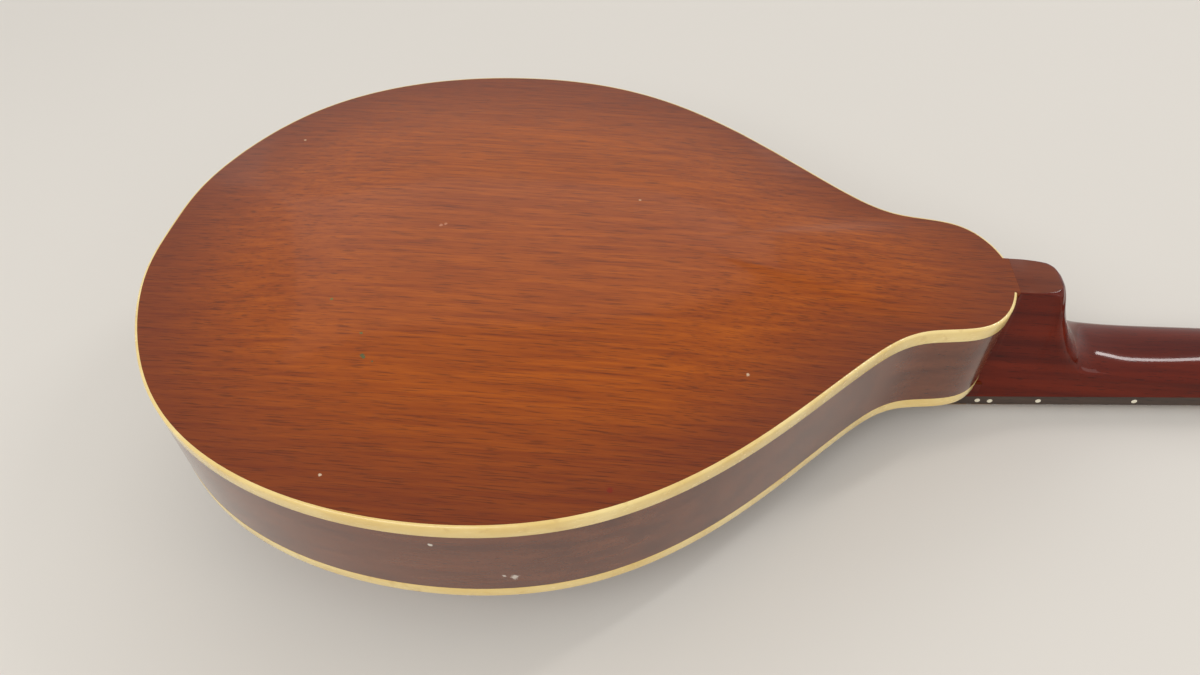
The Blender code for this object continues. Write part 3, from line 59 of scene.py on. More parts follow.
# Camera, floor and light
def aimCamera():
    # fitted to the photograph, in the instrument's own frame
    view = {
        "lens": 25.06, "sensor": 36.0, "near": 0.01, "at": (0.200008, -0.254034, 0.223886),
        "right": (0.9963592, 0.0851713, 0.0037599), "up": (-0.0650789, 0.7313426, 0.6788982),
        "back": (0.0550729, -0.6766711, 0.7342228),
    }
    lens = bpy.data.cameras.new("photoCamera")
    lens.lens = view["lens"]
    lens.sensor_width = view["sensor"]
    lens.clip_start = view["near"]
    camera = bpy.data.objects.new("photoCamera", lens)
    scene.collection.objects.link(camera)
    local = Matrix((view["right"], view["up"], view["back"])).transposed().to_4x4()
    local.translation = Vector(view["at"])
    camera.matrix_world = instrument @ local
    scene.camera = camera


def newTree(name):
    made = bpy.data.materials.new(name)
    made.use_nodes = True
    return made, made.node_tree, made.node_tree.nodes["Principled BSDF"]


def node(tree, kind, inputs=None, **settings):
    made = tree.nodes.new(kind)
    for key, value in settings.items():
        setattr(made, key, value)
    for key, value in (inputs or {}).items():
        if isinstance(value, bpy.types.NodeSocket):
            tree.links.new(value, made.inputs[key])
        else:
            made.inputs[key].default_value = value
    return made


def combine(tree, operation, first, second):
    return node(tree, "ShaderNodeMath", {0: first, 1: second}, operation=operation).outputs[0]


def spread(tree, value, low, high, start=0.0, end=1.0, **settings):
    # start to end made into low to high
    inputs = {"Value": value, "From Min": start, "From Max": end, "To Min": low, "To Max": high}
    return node(tree, "ShaderNodeMapRange", inputs, **settings).outputs["Result"]


def noise(tree, vector, size, detail=3.0, rough=0.5):
    inputs = {"Vector": vector, "Scale": size, "Detail": detail, "Roughness": rough}
    return node(tree, "ShaderNodeTexNoise", inputs).outputs["Fac"]


def mix(tree, share, low, high):
    inputs = {"Factor": share, 6: low, 7: high}
    return node(tree, "ShaderNodeMix", inputs, data_type="RGBA").outputs[2]


def place(tree):
    return node(tree, "ShaderNodeTexCoord").outputs["Object"]


def addObject(name, bm):
    mesh = bpy.data.meshes.new(name)
    bm.to_mesh(mesh)
    bm.free()
    made = bpy.data.objects.new(name, mesh)
    scene.collection.objects.link(made)
    return made


def makeStage():
    values = {
        "low": (0.7092, 0.67965, 0.635325, 1), "high": (0.72, 0.69, 0.645, 1), "speck": 9.0, "reach": 9.0,
        "below": 0.0004, "rough": 0.85, "specular": 0.2, "fadeFrom": 0.7, "fadeTo": 2.2,
        "back": (0.92, 0.906, 0.883, 1.0),
    }
    bm = bmesh.new()
    bmesh.ops.create_grid(bm, x_segments=1, y_segments=1, size=values["reach"])
    bmesh.ops.translate(bm, verts=bm.verts, vec=(0, 0, -values["below"]))
    floor = addObject("floor", bm)
    look, tree, shader = newTree("paleFloor")
    speck = noise(tree, place(tree), values["speck"], 4.0)
    tree.links.new(mix(tree, speck, values["low"], values["high"]), shader.inputs["Base Color"])
    shader.inputs["Roughness"].default_value = values["rough"]
    shader.inputs["Specular IOR Level"].default_value = values["specular"]
    # far from the object the floor fades into the white behind it
    away = node(tree, "ShaderNodeVectorMath", {0: place(tree)}, operation="LENGTH").outputs["Value"]
    fade = spread(tree, away, 0.0, 1.0, values["fadeFrom"], values["fadeTo"],
                  interpolation_type="SMOOTHSTEP")
    path = node(tree, "ShaderNodeLightPath").outputs
    seen = combine(tree, "MAXIMUM", path["Is Camera Ray"], path["Is Glossy Ray"])
    share = combine(tree, "MULTIPLY", seen, fade)
    glow = node(tree, "ShaderNodeEmission", {"Color": values["back"]}).outputs[0]
    joined = node(tree, "ShaderNodeMixShader", {0: share, 1: shader.outputs[0], 2: glow})
    end = next(n for n in tree.nodes if n.type == "OUTPUT_MATERIAL")
    tree.links.new(joined.outputs[0], end.inputs["Surface"])
    floor.data.materials.append(look)


def makeLights():
    # name: place, aims at, width, height, watts, colour
    lamps = {
        "keyPanel": ((-0.55, -0.95, 1.15), (0.0, 0.0, 0.05), 1.1, 0.8, 8.5, (1.0, 0.985, 0.96)),
        "farPanel": ((-0.35, 1.5, 1.5), (0.0, 0.0, 0.05), 1.8, 0.9, 4.0, (1.0, 0.99, 0.97)),
        "neckStrip": ((1.03, 0.66, 1.22), (0.07, 0.0, 0.08), 0.1, 0.55, 3.6, (1.0, 0.98, 0.96)),
        "rightFill": ((1.2, -0.5, 0.8), (0.05, 0.0, 0.05), 0.4, 0.6, 1.2, (1.0, 0.99, 0.98)),
    }
    backdrop = {"lit": 0.68, "seen": 0.92, "colour": (1.0, 0.985, 0.96, 1.0)}
    for name, (at, aim, wide, high, power, tint) in lamps.items():
        lamp = bpy.data.lights.new(name, "AREA")
        lamp.shape = "RECTANGLE"
        lamp.size = wide
        lamp.size_y = high
        lamp.energy = power
        lamp.color = tint
        holder = bpy.data.objects.new(name, lamp)
        scene.collection.objects.link(holder)
        holder.location = at
        holder.rotation_euler = (Vector(aim) - Vector(at)).to_track_quat("-Z", "Y").to_euler()
    world = bpy.data.worlds.new("studio")
    scene.world = world
    world.use_nodes = True
    tree = world.node_tree
    back = tree.nodes["Background"]
    path = node(tree, "ShaderNodeLightPath").outputs
    seen = combine(tree, "MAXIMUM", path["Is Camera Ray"], path["Is Transmission Ray"])
    seen = combine(tree, "MAXIMUM", seen, path["Is Glossy Ray"])
    tree.links.new(spread(tree, seen, backdrop["lit"], backdrop["seen"]), back.inputs["Strength"])
    back.inputs["Color"].default_value = backdrop["colour"]


aimCamera()
makeStage()
makeLights()
scene.view_settings.view_transform = "Standard"
print("camera, floor and lights ready")


# Finishes: colours are written as seen on screen, 0 to 255
def linear(red, green, blue):
    out = []
    for part in (red, green, blue):
        part = part / 255
        out.append(part / 12.92 if part <= 0.04045 else ((part + 0.055) / 1.055) ** 2.4)
    return (*out, 1.0)


def along(tree, stretch, offset=(0, 0, 0)):
    # object coordinates turned into the instrument's own frame and stretched
    inputs = {"Vector": place(tree), "Rotation": (0, -lying["turn"], 0), "Location": offset}
    turn = node(tree, "ShaderNodeMapping", inputs).outputs["Vector"]
    return node(tree, "ShaderNodeMapping", {"Vector": turn, "Scale": stretch}).outputs["Vector"]


def ramp(tree, value, *stops):
    made = node(tree, "ShaderNodeValToRGB", {"Fac": value})
    points = made.color_ramp.elements
    while len(points) < len(stops):
        points.new(0.5)
    for point, (at, shade) in zip(points, stops):
        point.position = at
        point.color = (shade, shade, shade, 1)
    return made.outputs["Color"]


def bumpOn(tree, shader, height, strength, distance=0.0002):
    made = node(tree, "ShaderNodeBump", {"Height": height, "Strength": strength, "Distance": distance})
    tree.links.new(made.outputs["Normal"], shader.inputs["Normal"])


def markOn(tree, colour, at, size, tint):
    # a small ding, smear or speck, ragged at its rim, at a place on the instrument in mm; one dark red spot
    # on the back is a painted reflection
    rim = {"ragged": 900.0, "swing": 0.8, "solid": 0.55, "share": 0.75}
    spot = tuple(bodyFrame @ Vector(at))
    away = node(tree, "ShaderNodeVectorMath", {0: place(tree), 1: spot}, operation="DISTANCE")
    ragged = noise(tree, place(tree), rim["ragged"])
    ragged = spread(tree, ragged, -size * rim["swing"], size * rim["swing"])
    away = combine(tree, "ADD", away.outputs["Value"], ragged)
    share = spread(tree, away, rim["share"], 0.0, size * rim["solid"], size)
    return mix(tree, share, colour, linear(*tint))


def paintOn(tree, shader, values, colour, worn, *span):
    # a colour, a roughness that follows the wear, and the plain values of the finish
    low, high = values["rough"] * values["smooth"], values["rough"] * values["dull"]
    tree.links.new(colour, shader.inputs["Base Color"])
    tree.links.new(spread(tree, worn, low, high, *span), shader.inputs["Roughness"])
    sockets = {"coat": "Coat Weight", "coatRough": "Coat Roughness", "specular": "Specular IOR Level",
               "metal": "Metallic"}
    for key, socket in sockets.items():
        if key in values:
            shader.inputs[socket].default_value = values[key]


woodBase = {
    "grain": 1.0, "stretch": (7, 150, 150), "figure": 0.5, "poreStretch": (150, 2100, 2100),
    "poreFrom": 0.6, "poreTo": 0.7, "poreShare": 0.6, "spotSize": 55.0, "spotFrom": 0.76,
    "spotShare": 0.5, "marks": (), "coat": 0.0, "coatRough": 0.07, "specular": 0.4, "bump": 0.12,
    "grainStops": ((0.32, 0.0), (0.68, 1.0)), "figureStretch": (9, 16, 16), "figureAt": (0.13, 0.4, 0),
    "cloud": 0.1, "spotAt": (0.31, 0.7, 0.2), "spotFade": 0.02, "haze": 34.0, "hazeAt": (0.5, 0.1, 0),
    "smooth": 0.75, "dull": 1.35, "ripple": (14, 30, 30), "rippleShare": 0.35,
}


def woodLook(name, given):
    # dark and light grain, short pores along the instrument, wear spots and a lacquer or an oiled skin
    values = {**woodBase, "spot": given["light"], **given}
    tints = {key: linear(*values[key]) for key in ("dark", "light", "deep", "pore", "spot")}
    look, tree, shader = newTree(name)
    grain = noise(tree, along(tree, values["stretch"]), values["grain"], 6.0, 0.6)
    figure = noise(tree, along(tree, values["figureStretch"], values["figureAt"]), 1.0)
    pores = noise(tree, along(tree, values["poreStretch"]), 1.0, 2.0)
    pores = ramp(tree, pores, (values["poreFrom"], 0.0), (values["poreTo"], 1.0))
    grain = ramp(tree, grain, *values["grainStops"])
    colour = mix(tree, grain, tints["dark"], tints["light"])
    colour = mix(tree, spread(tree, figure, 0.0, values["figure"]), colour, tints["deep"])
    if "burst" in values:
        edge = node(tree, "ShaderNodeAttribute", attribute_name="edgeShare").outputs["Fac"]
        cloud = combine(tree, "ADD", edge, spread(tree, figure, -values["cloud"], values["cloud"]))
        colour = mix(tree, ramp(tree, cloud, *values["burstStops"]), colour, linear(*values["burst"]))
    colour = mix(tree, combine(tree, "MULTIPLY", pores, values["poreShare"]), colour, tints["pore"])
    spots = noise(tree, along(tree, (1, 1, 1), values["spotAt"]), values["spotSize"], 2.0)
    spots = ramp(tree, spots, (values["spotFrom"], 0.0), (values["spotFrom"] + values["spotFade"], 1.0))
    colour = mix(tree, combine(tree, "MULTIPLY", spots, values["spotShare"]), colour, tints["spot"])
    for at, size, tint in values["marks"]:
        colour = markOn(tree, colour, at, size, tint)
    haze = noise(tree, along(tree, (1, 1, 1), values["hazeAt"]), values["haze"], 5.0, 0.65)
    paintOn(tree, shader, values, colour, haze)
    ripple = noise(tree, along(tree, values["ripple"]), 1.0, 1.0)
    bumpOn(tree, shader, mix(tree, values["rippleShare"], ripple, pores), values["bump"])
    return look


plasticBase = {
    "stretch": (1, 1, 1), "cloud": 60.0, "stops": ((0.35, 0.0), (0.65, 1.0)), "grimeShare": 0.35,
    "coat": 0.3, "coatRough": 0.08, "specular": 0.5, "bump": 0.05, "grimeAt": (0.2, 0.3, 0.1),
    "grimeSize": 220.0, "grimeFrom": 0.6, "grimeTo": 0.72, "scratch": (30, 900, 900), "smooth": 0.8,
    "dull": 1.5,
}


def plasticLook(name, given):
    # moulded plastic or celluloid with clouds and fine scratches
    values = {**plasticBase, "grime": given["dark"], **given}
    look, tree, shader = newTree(name)
    cloud = noise(tree, along(tree, values["stretch"]), values["cloud"], 4.0, 0.6)
    cloud = ramp(tree, cloud, *values["stops"])
    colour = mix(tree, cloud, linear(*values["dark"]), linear(*values["light"]))
    grime = noise(tree, along(tree, (1, 1, 1), values["grimeAt"]), values["grimeSize"])
    grime = ramp(tree, grime, (values["grimeFrom"], 0.0), (values["grimeTo"], values["grimeShare"]))
    colour = mix(tree, grime, colour, linear(*values["grime"]))
    haze = noise(tree, along(tree, values["scratch"]), 1.0)
    paintOn(tree, shader, values, colour, haze)
    bumpOn(tree, shader, haze, values["bump"])
    return look


metalBase = {
    "stretch": (60, 900, 900), "bump": 0.08, "bumpHigh": 0.0001, "tarnish": 240.0,
    "tarnishAt": (0.3, 0.2, 0.4), "tarnishStops": ((0.45, 0.0), (0.8, 1.0)), "pit": 900.0,
    "pitStops": ((0.68, 0.0), (0.74, 1.0)), "pitShare": 0.5, "smooth": 0.7, "dull": 1.5,
    "wornSpan": (0.6, 1.4), "metal": 1.0,
}


def metalLook(name, given):
    # plated or plain metal with brushing, clouding and small pits
    values = {**metalBase, **given}
    dark = linear(*values["dark"])
    look, tree, shader = newTree(name)
    brushed = noise(tree, along(tree, values["stretch"]), 1.0)
    tarnish = noise(tree, along(tree, (1, 1, 1), values["tarnishAt"]), values["tarnish"], 6.0, 0.7)
    pits = ramp(tree, noise(tree, along(tree, (1, 1, 1)), values["pit"], 1.0), *values["pitStops"])
    share = ramp(tree, tarnish, *values["tarnishStops"])
    colour = mix(tree, share, linear(*values["light"]), dark)
    colour = mix(tree, combine(tree, "MULTIPLY", pits, values["pitShare"]), colour, dark)
    both = combine(tree, "ADD", brushed, tarnish)
    paintOn(tree, shader, values, colour, both, *values["wornSpan"])
    bumpOn(tree, shader, brushed, values["bump"], values["bumpHigh"])
    return look


# marks: place on the instrument in mm, size in m, colour; the dark red one on the back's near edge is a
# painted reflection, the others are dings and specks
backMarksAndPaintedReflection = (
    ((193.7, 26.6, 5.9), 0.0006, (208, 178, 142)), ((236.3, -61.9, 1.1), 0.0007, (214, 190, 158)),
    ((100.1, -114.7, 0.2), 0.0006, (220, 200, 170)), ((100.7, -66.5, 3.3), 0.0009, (46, 92, 60)),
    # the second mark on the next line, dark red at the back's near edge, is a painted reflection
    ((105.0, -69.0, 3.2), 0.0005, (46, 92, 60)), ((191.9, -112.1, 0.1), 0.0012, (120, 30, 12)),
    ((36.0, 64.3, 0.5), 0.0008, (206, 176, 140)), ((97.7, -56.8, 4.0), 0.0007, (46, 110, 66)),
    ((82.3, -41.3, 4.5), 0.0006, (56, 120, 60)), ((101.6, -67.4, 3.3), 0.0008, (40, 96, 60)),
    ((114.4, 2.4, 6.4), 0.0009, (190, 130, 96)), ((116.2, 3.4, 6.4), 0.0008, (190, 130, 96)),
)
ribMarks = (
    ((137.2, -129.8, -11.1), 0.0009, (224, 216, 204)), ((162.1, -127.8, -32.1), 0.0016, (216, 206, 194)),
    ((158.5, -127.8, -31.0), 0.0009, (216, 206, 194)),
)
looks = {
    "back": woodLook("backMahogany", {
        "dark": (129, 55, 5), "light": (172, 85, 8), "deep": (144, 63, 6), "pore": (52, 18, 3),
        "burst": (92, 34, 18), "burstStops": ((0.6, 0.0), (0.97, 0.6)), "spot": (214, 190, 150),
        "stretch": (22, 560, 560), "poreStretch": (95, 2500, 2500), "poreShare": 0.5,
        "poreFrom": 0.54, "poreTo": 0.66, "spotSize": 70.0, "spotFrom": 0.8, "spotShare": 0.4,
        "specular": 0.14, "rough": 0.2, "coat": 0.16, "bump": 0.16, "marks": backMarksAndPaintedReflection}),
    "rib": woodLook("ribMahogany", {
        "dark": (84, 40, 22), "light": (122, 66, 38), "deep": (72, 34, 20), "pore": (40, 18, 10),
        "poreShare": 0.5, "rough": 0.17, "coat": 0.5, "coatRough": 0.06, "bump": 0.14,
        "spot": (190, 160, 120), "spotSize": 60.0, "spotFrom": 0.77, "marks": ribMarks}),
    "top": woodLook("sunburstSpruce", {
        "dark": (182, 108, 44), "light": (206, 138, 64), "deep": (176, 98, 40), "pore": (120, 60, 24),
        "burst": (40, 16, 9), "burstStops": ((0.45, 0.0), (0.92, 1.0)), "figure": 0.12,
        "poreShare": 0.2, "grain": 5.0, "stretch": (1.2, 150, 150), "rough": 0.18, "coat": 0.5,
        "coatRough": 0.08, "bump": 0.08}),
    "neck": woodLook("neckMahogany", {
        "dark": (74, 14, 4), "light": (112, 32, 8), "deep": (62, 12, 4), "pore": (28, 6, 3),
        "spot": (130, 60, 34), "spotSize": 48.0, "spotFrom": 0.78, "spotShare": 0.35, "figure": 0.45,
        "poreShare": 0.55, "rough": 0.12, "coat": 0.3, "coatRough": 0.03, "bump": 0.05,
        "specular": 0.06}),
    "heelCap": woodLook("heelCapWood", {
        "dark": (92, 38, 18), "light": (118, 54, 26), "deep": (94, 40, 20), "pore": (52, 20, 12),
        "spot": (170, 120, 88), "figure": 0.4, "poreShare": 0.5, "rough": 0.2, "coat": 0.16,
        "specular": 0.14}),
    "inner": woodLook("innerWood", {
        "dark": (150, 112, 70), "light": (196, 160, 112), "deep": (160, 122, 80), "pore": (110, 76, 46),
        "spot": (120, 86, 52), "poreShare": 0.3, "rough": 0.7, "bump": 0.2, "grain": 2.0}),
    "lining": woodLook("liningWood", {
        "dark": (140, 96, 60), "light": (182, 138, 92), "deep": (146, 104, 66), "pore": (100, 64, 40),
        "spot": (110, 76, 46), "poreShare": 0.3, "rough": 0.75, "bump": 0.2}),
    "board": woodLook("rosewoodBoard", {
        "dark": (46, 34, 29), "light": (84, 66, 54), "deep": (40, 30, 26), "pore": (20, 14, 12),
        "spot": (96, 80, 66), "figure": 0.6, "poreShare": 0.8, "spotShare": 0.3, "rough": 0.42,
        "bump": 0.3}),
    "bridge": woodLook("bridgeRosewood", {
        "dark": (52, 32, 22), "light": (94, 62, 42), "deep": (44, 28, 20), "pore": (20, 12, 9),
        "spot": (110, 80, 56), "figure": 0.6, "poreShare": 0.8, "spotShare": 0.3, "rough": 0.38,
        "bump": 0.3}),
    "veneer": woodLook("blackVeneer", {
        "dark": (12, 11, 11), "light": (26, 24, 23), "deep": (9, 9, 9), "pore": (4, 4, 4),
        "spot": (46, 42, 40), "spotShare": 0.3, "rough": 0.16, "coat": 0.6, "bump": 0.08}),
    "binding": plasticLook("ivoryBinding", {
        "dark": (222, 190, 112), "light": (238, 214, 146), "grime": (196, 158, 92), "rough": 0.22,
        "coat": 0.5, "stretch": (20, 60, 60), "cloud": 1.2}),
    "bone": plasticLook("nutBone", {
        "dark": (214, 204, 176), "light": (236, 228, 204), "grime": (178, 160, 120), "rough": 0.3,
        "coat": 0.1}),
    "pearl": plasticLook("dotPearl", {
        "dark": (216, 206, 178), "light": (240, 234, 214), "rough": 0.2, "coat": 0.6, "cloud": 260.0}),
    "button": plasticLook("creamButton", {
        "dark": (222, 206, 162), "light": (242, 230, 194), "grime": (190, 164, 110), "rough": 0.24,
        "coat": 0.5, "cloud": 120.0}),
    "black": plasticLook("blackPlastic", {
        "dark": (16, 15, 15), "light": (30, 28, 28), "grime": (58, 54, 50), "rough": 0.2, "coat": 0.5}),
    "shell": plasticLook("tortoisePlastic", {
        "dark": (26, 8, 5), "light": (118, 44, 16), "grime": (10, 4, 3), "rough": 0.14, "coat": 0.7,
        "cloud": 70.0, "stops": ((0.42, 0.0), (0.6, 1.0)), "bump": 0.03}),
    "nickel": metalLook("wornNickel", {"light": (206, 200, 190), "dark": (164, 156, 142), "rough": 0.22}),
    "brass": metalLook("agedBrass", {"light": (204, 168, 98), "dark": (132, 98, 54), "rough": 0.3}),
    "steel": metalLook("plainSteel", {"light": (190, 190, 190), "dark": (120, 116, 112), "rough": 0.34}),
    "fret": metalLook("fretWire", {
        "light": (214, 210, 202), "dark": (150, 142, 130), "rough": 0.2, "stretch": (900, 60, 900)}),
    "plainString": metalLook("plainString", {
        "light": (206, 204, 200), "dark": (142, 134, 120), "rough": 0.22}),
    "woundString": metalLook("woundString", {
        "light": (196, 152, 96), "dark": (132, 92, 56), "rough": 0.34}),
}
print("finishes ready:", len(looks))


# How pieces are made and placed
def addPiece(name, bm, frameUsed, look, slotName, replaces=(), sharp=35, rider="mandolin"):
    bmesh.ops.remove_doubles(bm, verts=bm.verts, dist=1e-4)
    bmesh.ops.recalc_face_normals(bm, faces=bm.faces)
    bm.transform(frameUsed)
    piece = addObject(name, bm)
    piece.data.materials.append(looks[look])
    piece.data.shade_smooth()
    piece.data.set_sharp_from_angle(angle=math.radians(sharp))
    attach(piece, rider)
    if replaces:
        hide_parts(*replaces)
    return piece


def mirrored(points):
    # the points, and back again on the other side of the centre line
    return points + [(x, -y, *rest) for x, y, *rest in reversed(points)]


def vertsOf(made):
    return [g for g in made if isinstance(g, bmesh.types.BMVert)]


def extrudeTo(bm, ring, points, closed=True):
    # pulls a chain of vertices out to new places and returns the new chain
    pairs = list(zip(ring, ring[1:] + ring[:1]))
    if not closed:
        pairs = pairs[:-1]
    edges = [bm.edges.get(pair) or bm.edges.new(pair) for pair in pairs]
    made = set(vertsOf(bmesh.ops.extrude_edge_only(bm, edges=edges)["geom"]))
    fresh = [next(e.other_vert(old) for e in old.link_edges if e.other_vert(old) in made) for old in ring]
    for vert, point in zip(fresh, points):
        vert.co = point
    return fresh


def loftOn(bm, rings):
    # a closed skin pulled through rings of points
    first = chain = [bm.verts.new(point) for point in rings[0]]
    for ring in rings[1:]:
        chain = extrudeTo(bm, chain, ring)
    bm.faces.new(first)
    bm.faces.new(chain)


def slabOn(bm, ring, rise):
    # a flat ring of points made into a board
    face = bm.faces.new([bm.verts.new(point) for point in ring])
    made = bmesh.ops.extrude_face_region(bm, geom=[face])["geom"]
    bmesh.ops.translate(bm, verts=vertsOf(made), vec=(0, 0, rise))
    bmesh.ops.recalc_face_normals(bm, faces=bm.faces)


def roundEdges(bm, width, segments=2, angle=30):
    edges = [e for e in bm.edges if len(e.link_faces) == 2 and e.calc_face_angle(0) > math.radians(angle)]
    bmesh.ops.bevel(bm, geom=edges, offset=width, segments=segments, affect="EDGES", profile=0.5,
                    material=-1, clamp_overlap=True)


def softCopy(nodeName, name, look, slotName, edge=0.0003, angle=30, rider="mandolin"):
    # a CAD node's own shape, merged, with its flat faces made whole and its edges rounded
    bm = bmesh.new()
    bm.from_mesh(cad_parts[nodeName].data)
    bmesh.ops.remove_doubles(bm, verts=bm.verts, dist=2e-6)
    bmesh.ops.dissolve_limit(bm, angle_limit=math.radians(1.0), verts=bm.verts, edges=bm.edges)
    roundEdges(bm, edge, 2, angle)
    addPiece(name, bm, Matrix.Identity(4), look, slotName, (nodeName,), rider=rider)


def turnedOn(bm, profile, axis, centre, steps=32):
    # spins (radius, along) pairs about an axis through centre, with its ends closed
    ahead = {"X": Vector((1, 0, 0)), "Y": Vector((0, 1, 0)), "Z": Vector((0, 0, 1))}[axis]
    side = Vector((0, 0, 1)) if axis == "X" else Vector((1, 0, 0))
    centre = Vector(centre)
    profile = [(0.0, profile[0][1])] + list(profile) + [(0.0, profile[-1][1])]
    verts = [bm.verts.new(centre + side * radius + ahead * at) for radius, at in profile]
    edges = [bm.edges.new(pair) for pair in zip(verts, verts[1:])]
    bmesh.ops.spin(bm, geom=verts + edges, cent=centre, axis=ahead, angle=math.tau, steps=steps,
                   use_merge=True)
    bmesh.ops.remove_doubles(bm, verts=bm.verts, dist=1e-4)


def loftPiece(name, rings, *rest, **settings):
    bm = bmesh.new()
    loftOn(bm, rings)
    addPiece(name, bm, *rest, **settings)


def turnedPiece(name, profile, axis, at, steps, *rest):
    bm = bmesh.new()
    turnedOn(bm, profile, axis, at, steps)
    addPiece(name, bm, *rest)


def boredOn(bm, section, at, steps):
    # spins a closed section of (radius, height) pairs about an upright axis
    verts = [bm.verts.new(at + Vector((radius, 0, high))) for radius, high in section]
    edges = [bm.edges.new(pair) for pair in zip(verts, verts[1:] + verts[:1])]
    bmesh.ops.spin(bm, geom=verts + edges, cent=at, axis=(0, 0, 1), angle=math.tau, steps=steps,
                   use_merge=True)


def screwHead(name, frameUsed, at, way, radius):
    # a domed slotted screw that stands out of a face along z
    bm = bmesh.new()
    dome = [(radius, 0.0), (radius, 0.15 * radius), (0.8 * radius, 0.36 * radius),
            (0.45 * radius, 0.48 * radius)]
    turnedOn(bm, dome, "Z", (0, 0, 0), 20)
    groove = []
    for face in bm.faces:
        middle = face.calc_center_median()
        if abs(middle.y) < 0.16 * radius and middle.z > 0.3 * radius:
            groove.append(face)
    if groove:
        made = bmesh.ops.extrude_face_region(bm, geom=groove)["geom"]
        bmesh.ops.delete(bm, geom=groove, context="FACES")
        bmesh.ops.translate(bm, verts=vertsOf(made), vec=(0, 0, -0.25 * radius))
    if way < 0:
        bmesh.ops.scale(bm, verts=bm.verts, vec=(1, 1, -1))
    bmesh.ops.translate(bm, verts=bm.verts, vec=at)
    addPiece(name, bm, frameUsed, "nickel", "nickel", sharp=30)


def hermite(t, start, startSlope, end, endSlope):
    # the cubic between two places with the given slopes
    return ((2 * t**3 - 3 * t**2 + 1) * start + (t**3 - 2 * t**2 + t) * startSlope
            + (3 * t**2 - 2 * t**3) * end + (t**3 - t**2) * endSlope)


def between(low, high, share):
    return low + (high - low) * share


def smoothThrough(xs, ys, x):
    # a smooth curve through the given places that never swings past them
    xs, ys = np.array(xs, float), np.array(ys, float)
    gaps = np.diff(xs)
    rise = np.diff(ys) / gaps
    slope = np.zeros(len(xs))
    for i in range(1, len(xs) - 1):
        if rise[i - 1] * rise[i] > 0:
            slope[i] = 2 / (1 / rise[i - 1] + 1 / rise[i])
    slope[0], slope[-1] = rise[0], rise[-1]
    i = int(np.clip(np.searchsorted(xs, x) - 1, 0, len(gaps) - 1))
    t = (x - xs[i]) / gaps[i]
    return float(hermite(t, ys[i], gaps[i] * slope[i], ys[i + 1], gaps[i] * slope[i + 1]))


# The outline of the body, as shares of its length and half width
outline = [
    (0.0, 0.0), (0.008, 0.249), (0.083, 0.652), (0.212, 0.904), (0.374, 0.998), (0.5455, 0.934),
    (0.702, 0.676), (0.8285, 0.363), (0.890, 0.266), (0.9606, 0.220), (1.0, 0.0),
]
spanSteps = 24


def halfLine():
    # dense points of the treble half of the smooth closed line through the given places
    half = [(x * body["length"], y * body["half"]) for x, y in outline]
    points = np.array(half + [(x, -y) for x, y in reversed(half[1:-1])])
    count = len(points)
    step = np.linalg.norm(np.roll(points, -1, 0) - points, axis=1) ** 0.5
    matrix, right = np.zeros((count, count)), np.zeros((count, 2))
    for i in range(count):
        before, after, j = step[i - 1], step[i], (i + 1) % count
        matrix[i, i - 1] += after
        matrix[i, i] += 2 * (before + after)
        matrix[i, j] += before
        rising, falling = (points[i] - points[i - 1]) / before, (points[j] - points[i]) / after
        right[i] = 3 * (after * rising + before * falling)
    slope = np.linalg.solve(matrix, right)
    dense = []
    for i in range(len(outline) - 1):
        for t in np.linspace(0, 1, spanSteps, endpoint=False):
            dense.append(hermite(t, points[i], step[i] * slope[i], points[i + 1], step[i] * slope[i + 1]))
    return np.array(dense + [points[len(outline) - 1]])


def rimPath(heelHalf, count):
    # points along the treble half, closest together where it turns, and the way inwards at each
    line = halfLine()
    last = next(i for i in range(len(line) - 1, 0, -1) if line[i][1] > heelHalf)
    share = (line[last][1] - heelHalf) / (line[last][1] - line[last + 1][1])
    piece = np.vstack([line[: last + 1], between(line[last], line[last + 1], share)])
    ahead = np.diff(piece, axis=0)
    length = np.linalg.norm(ahead, axis=1)
    angle = np.unwrap(np.arctan2(ahead[:, 1], ahead[:, 0]))
    turn = np.abs(np.diff(angle, append=angle[-1]))
    measure = np.concatenate([[0], np.cumsum(length / length.sum() + turn / turn.sum())])
    wanted = np.linspace(0, measure[-1], count)
    points = np.stack([np.interp(wanted, measure, piece[:, i]) for i in (0, 1)], 1)
    way = np.gradient(points, axis=0)
    way /= np.linalg.norm(way, axis=1)[:, None]
    inward = np.stack([way[:, 1], -way[:, 0]], 1)
    inward[0] = (1.0, 0.0)
    return points, inward


arch = {"spine": (0.32 * body["length"], 0.6 * body["length"]), "power": 1.15}


def archShare(share):
    return 0.5 * (1 + math.cos(math.pi * min(1.0, abs(share)) ** arch["power"]))


def spineAt(x):
    return min(max(x, arch["spine"][0]), arch["spine"][1])


def shareAt(x, y):
    # share of the way from the spine to the edge
    line = halfLine()
    foot = spineAt(x)
    low, high = 0.0, 1.0
    for _ in range(24):
        share = (low + high) / 2
        edgeX = foot + (x - foot) / max(share, 1e-6)
        edgeY = abs(y) / max(share, 1e-6)
        outside = not 0 < edgeX < body["length"] or np.interp(edgeX, line[:, 0], line[:, 1]) < edgeY
        low, high = (share, high) if outside else (low, share)
    return high


def topDepth(x, y):
    return body["depth"] + body["topArch"] * archShare(shareAt(x, y))


# Plates, ribs and bindings
plates = {"inset": 1.1, "tongue": 4.4, "tongueOut": 0.02, "rings": 26, "rimCount": 110, "bandCount": 130,
          "smoothing": 14}


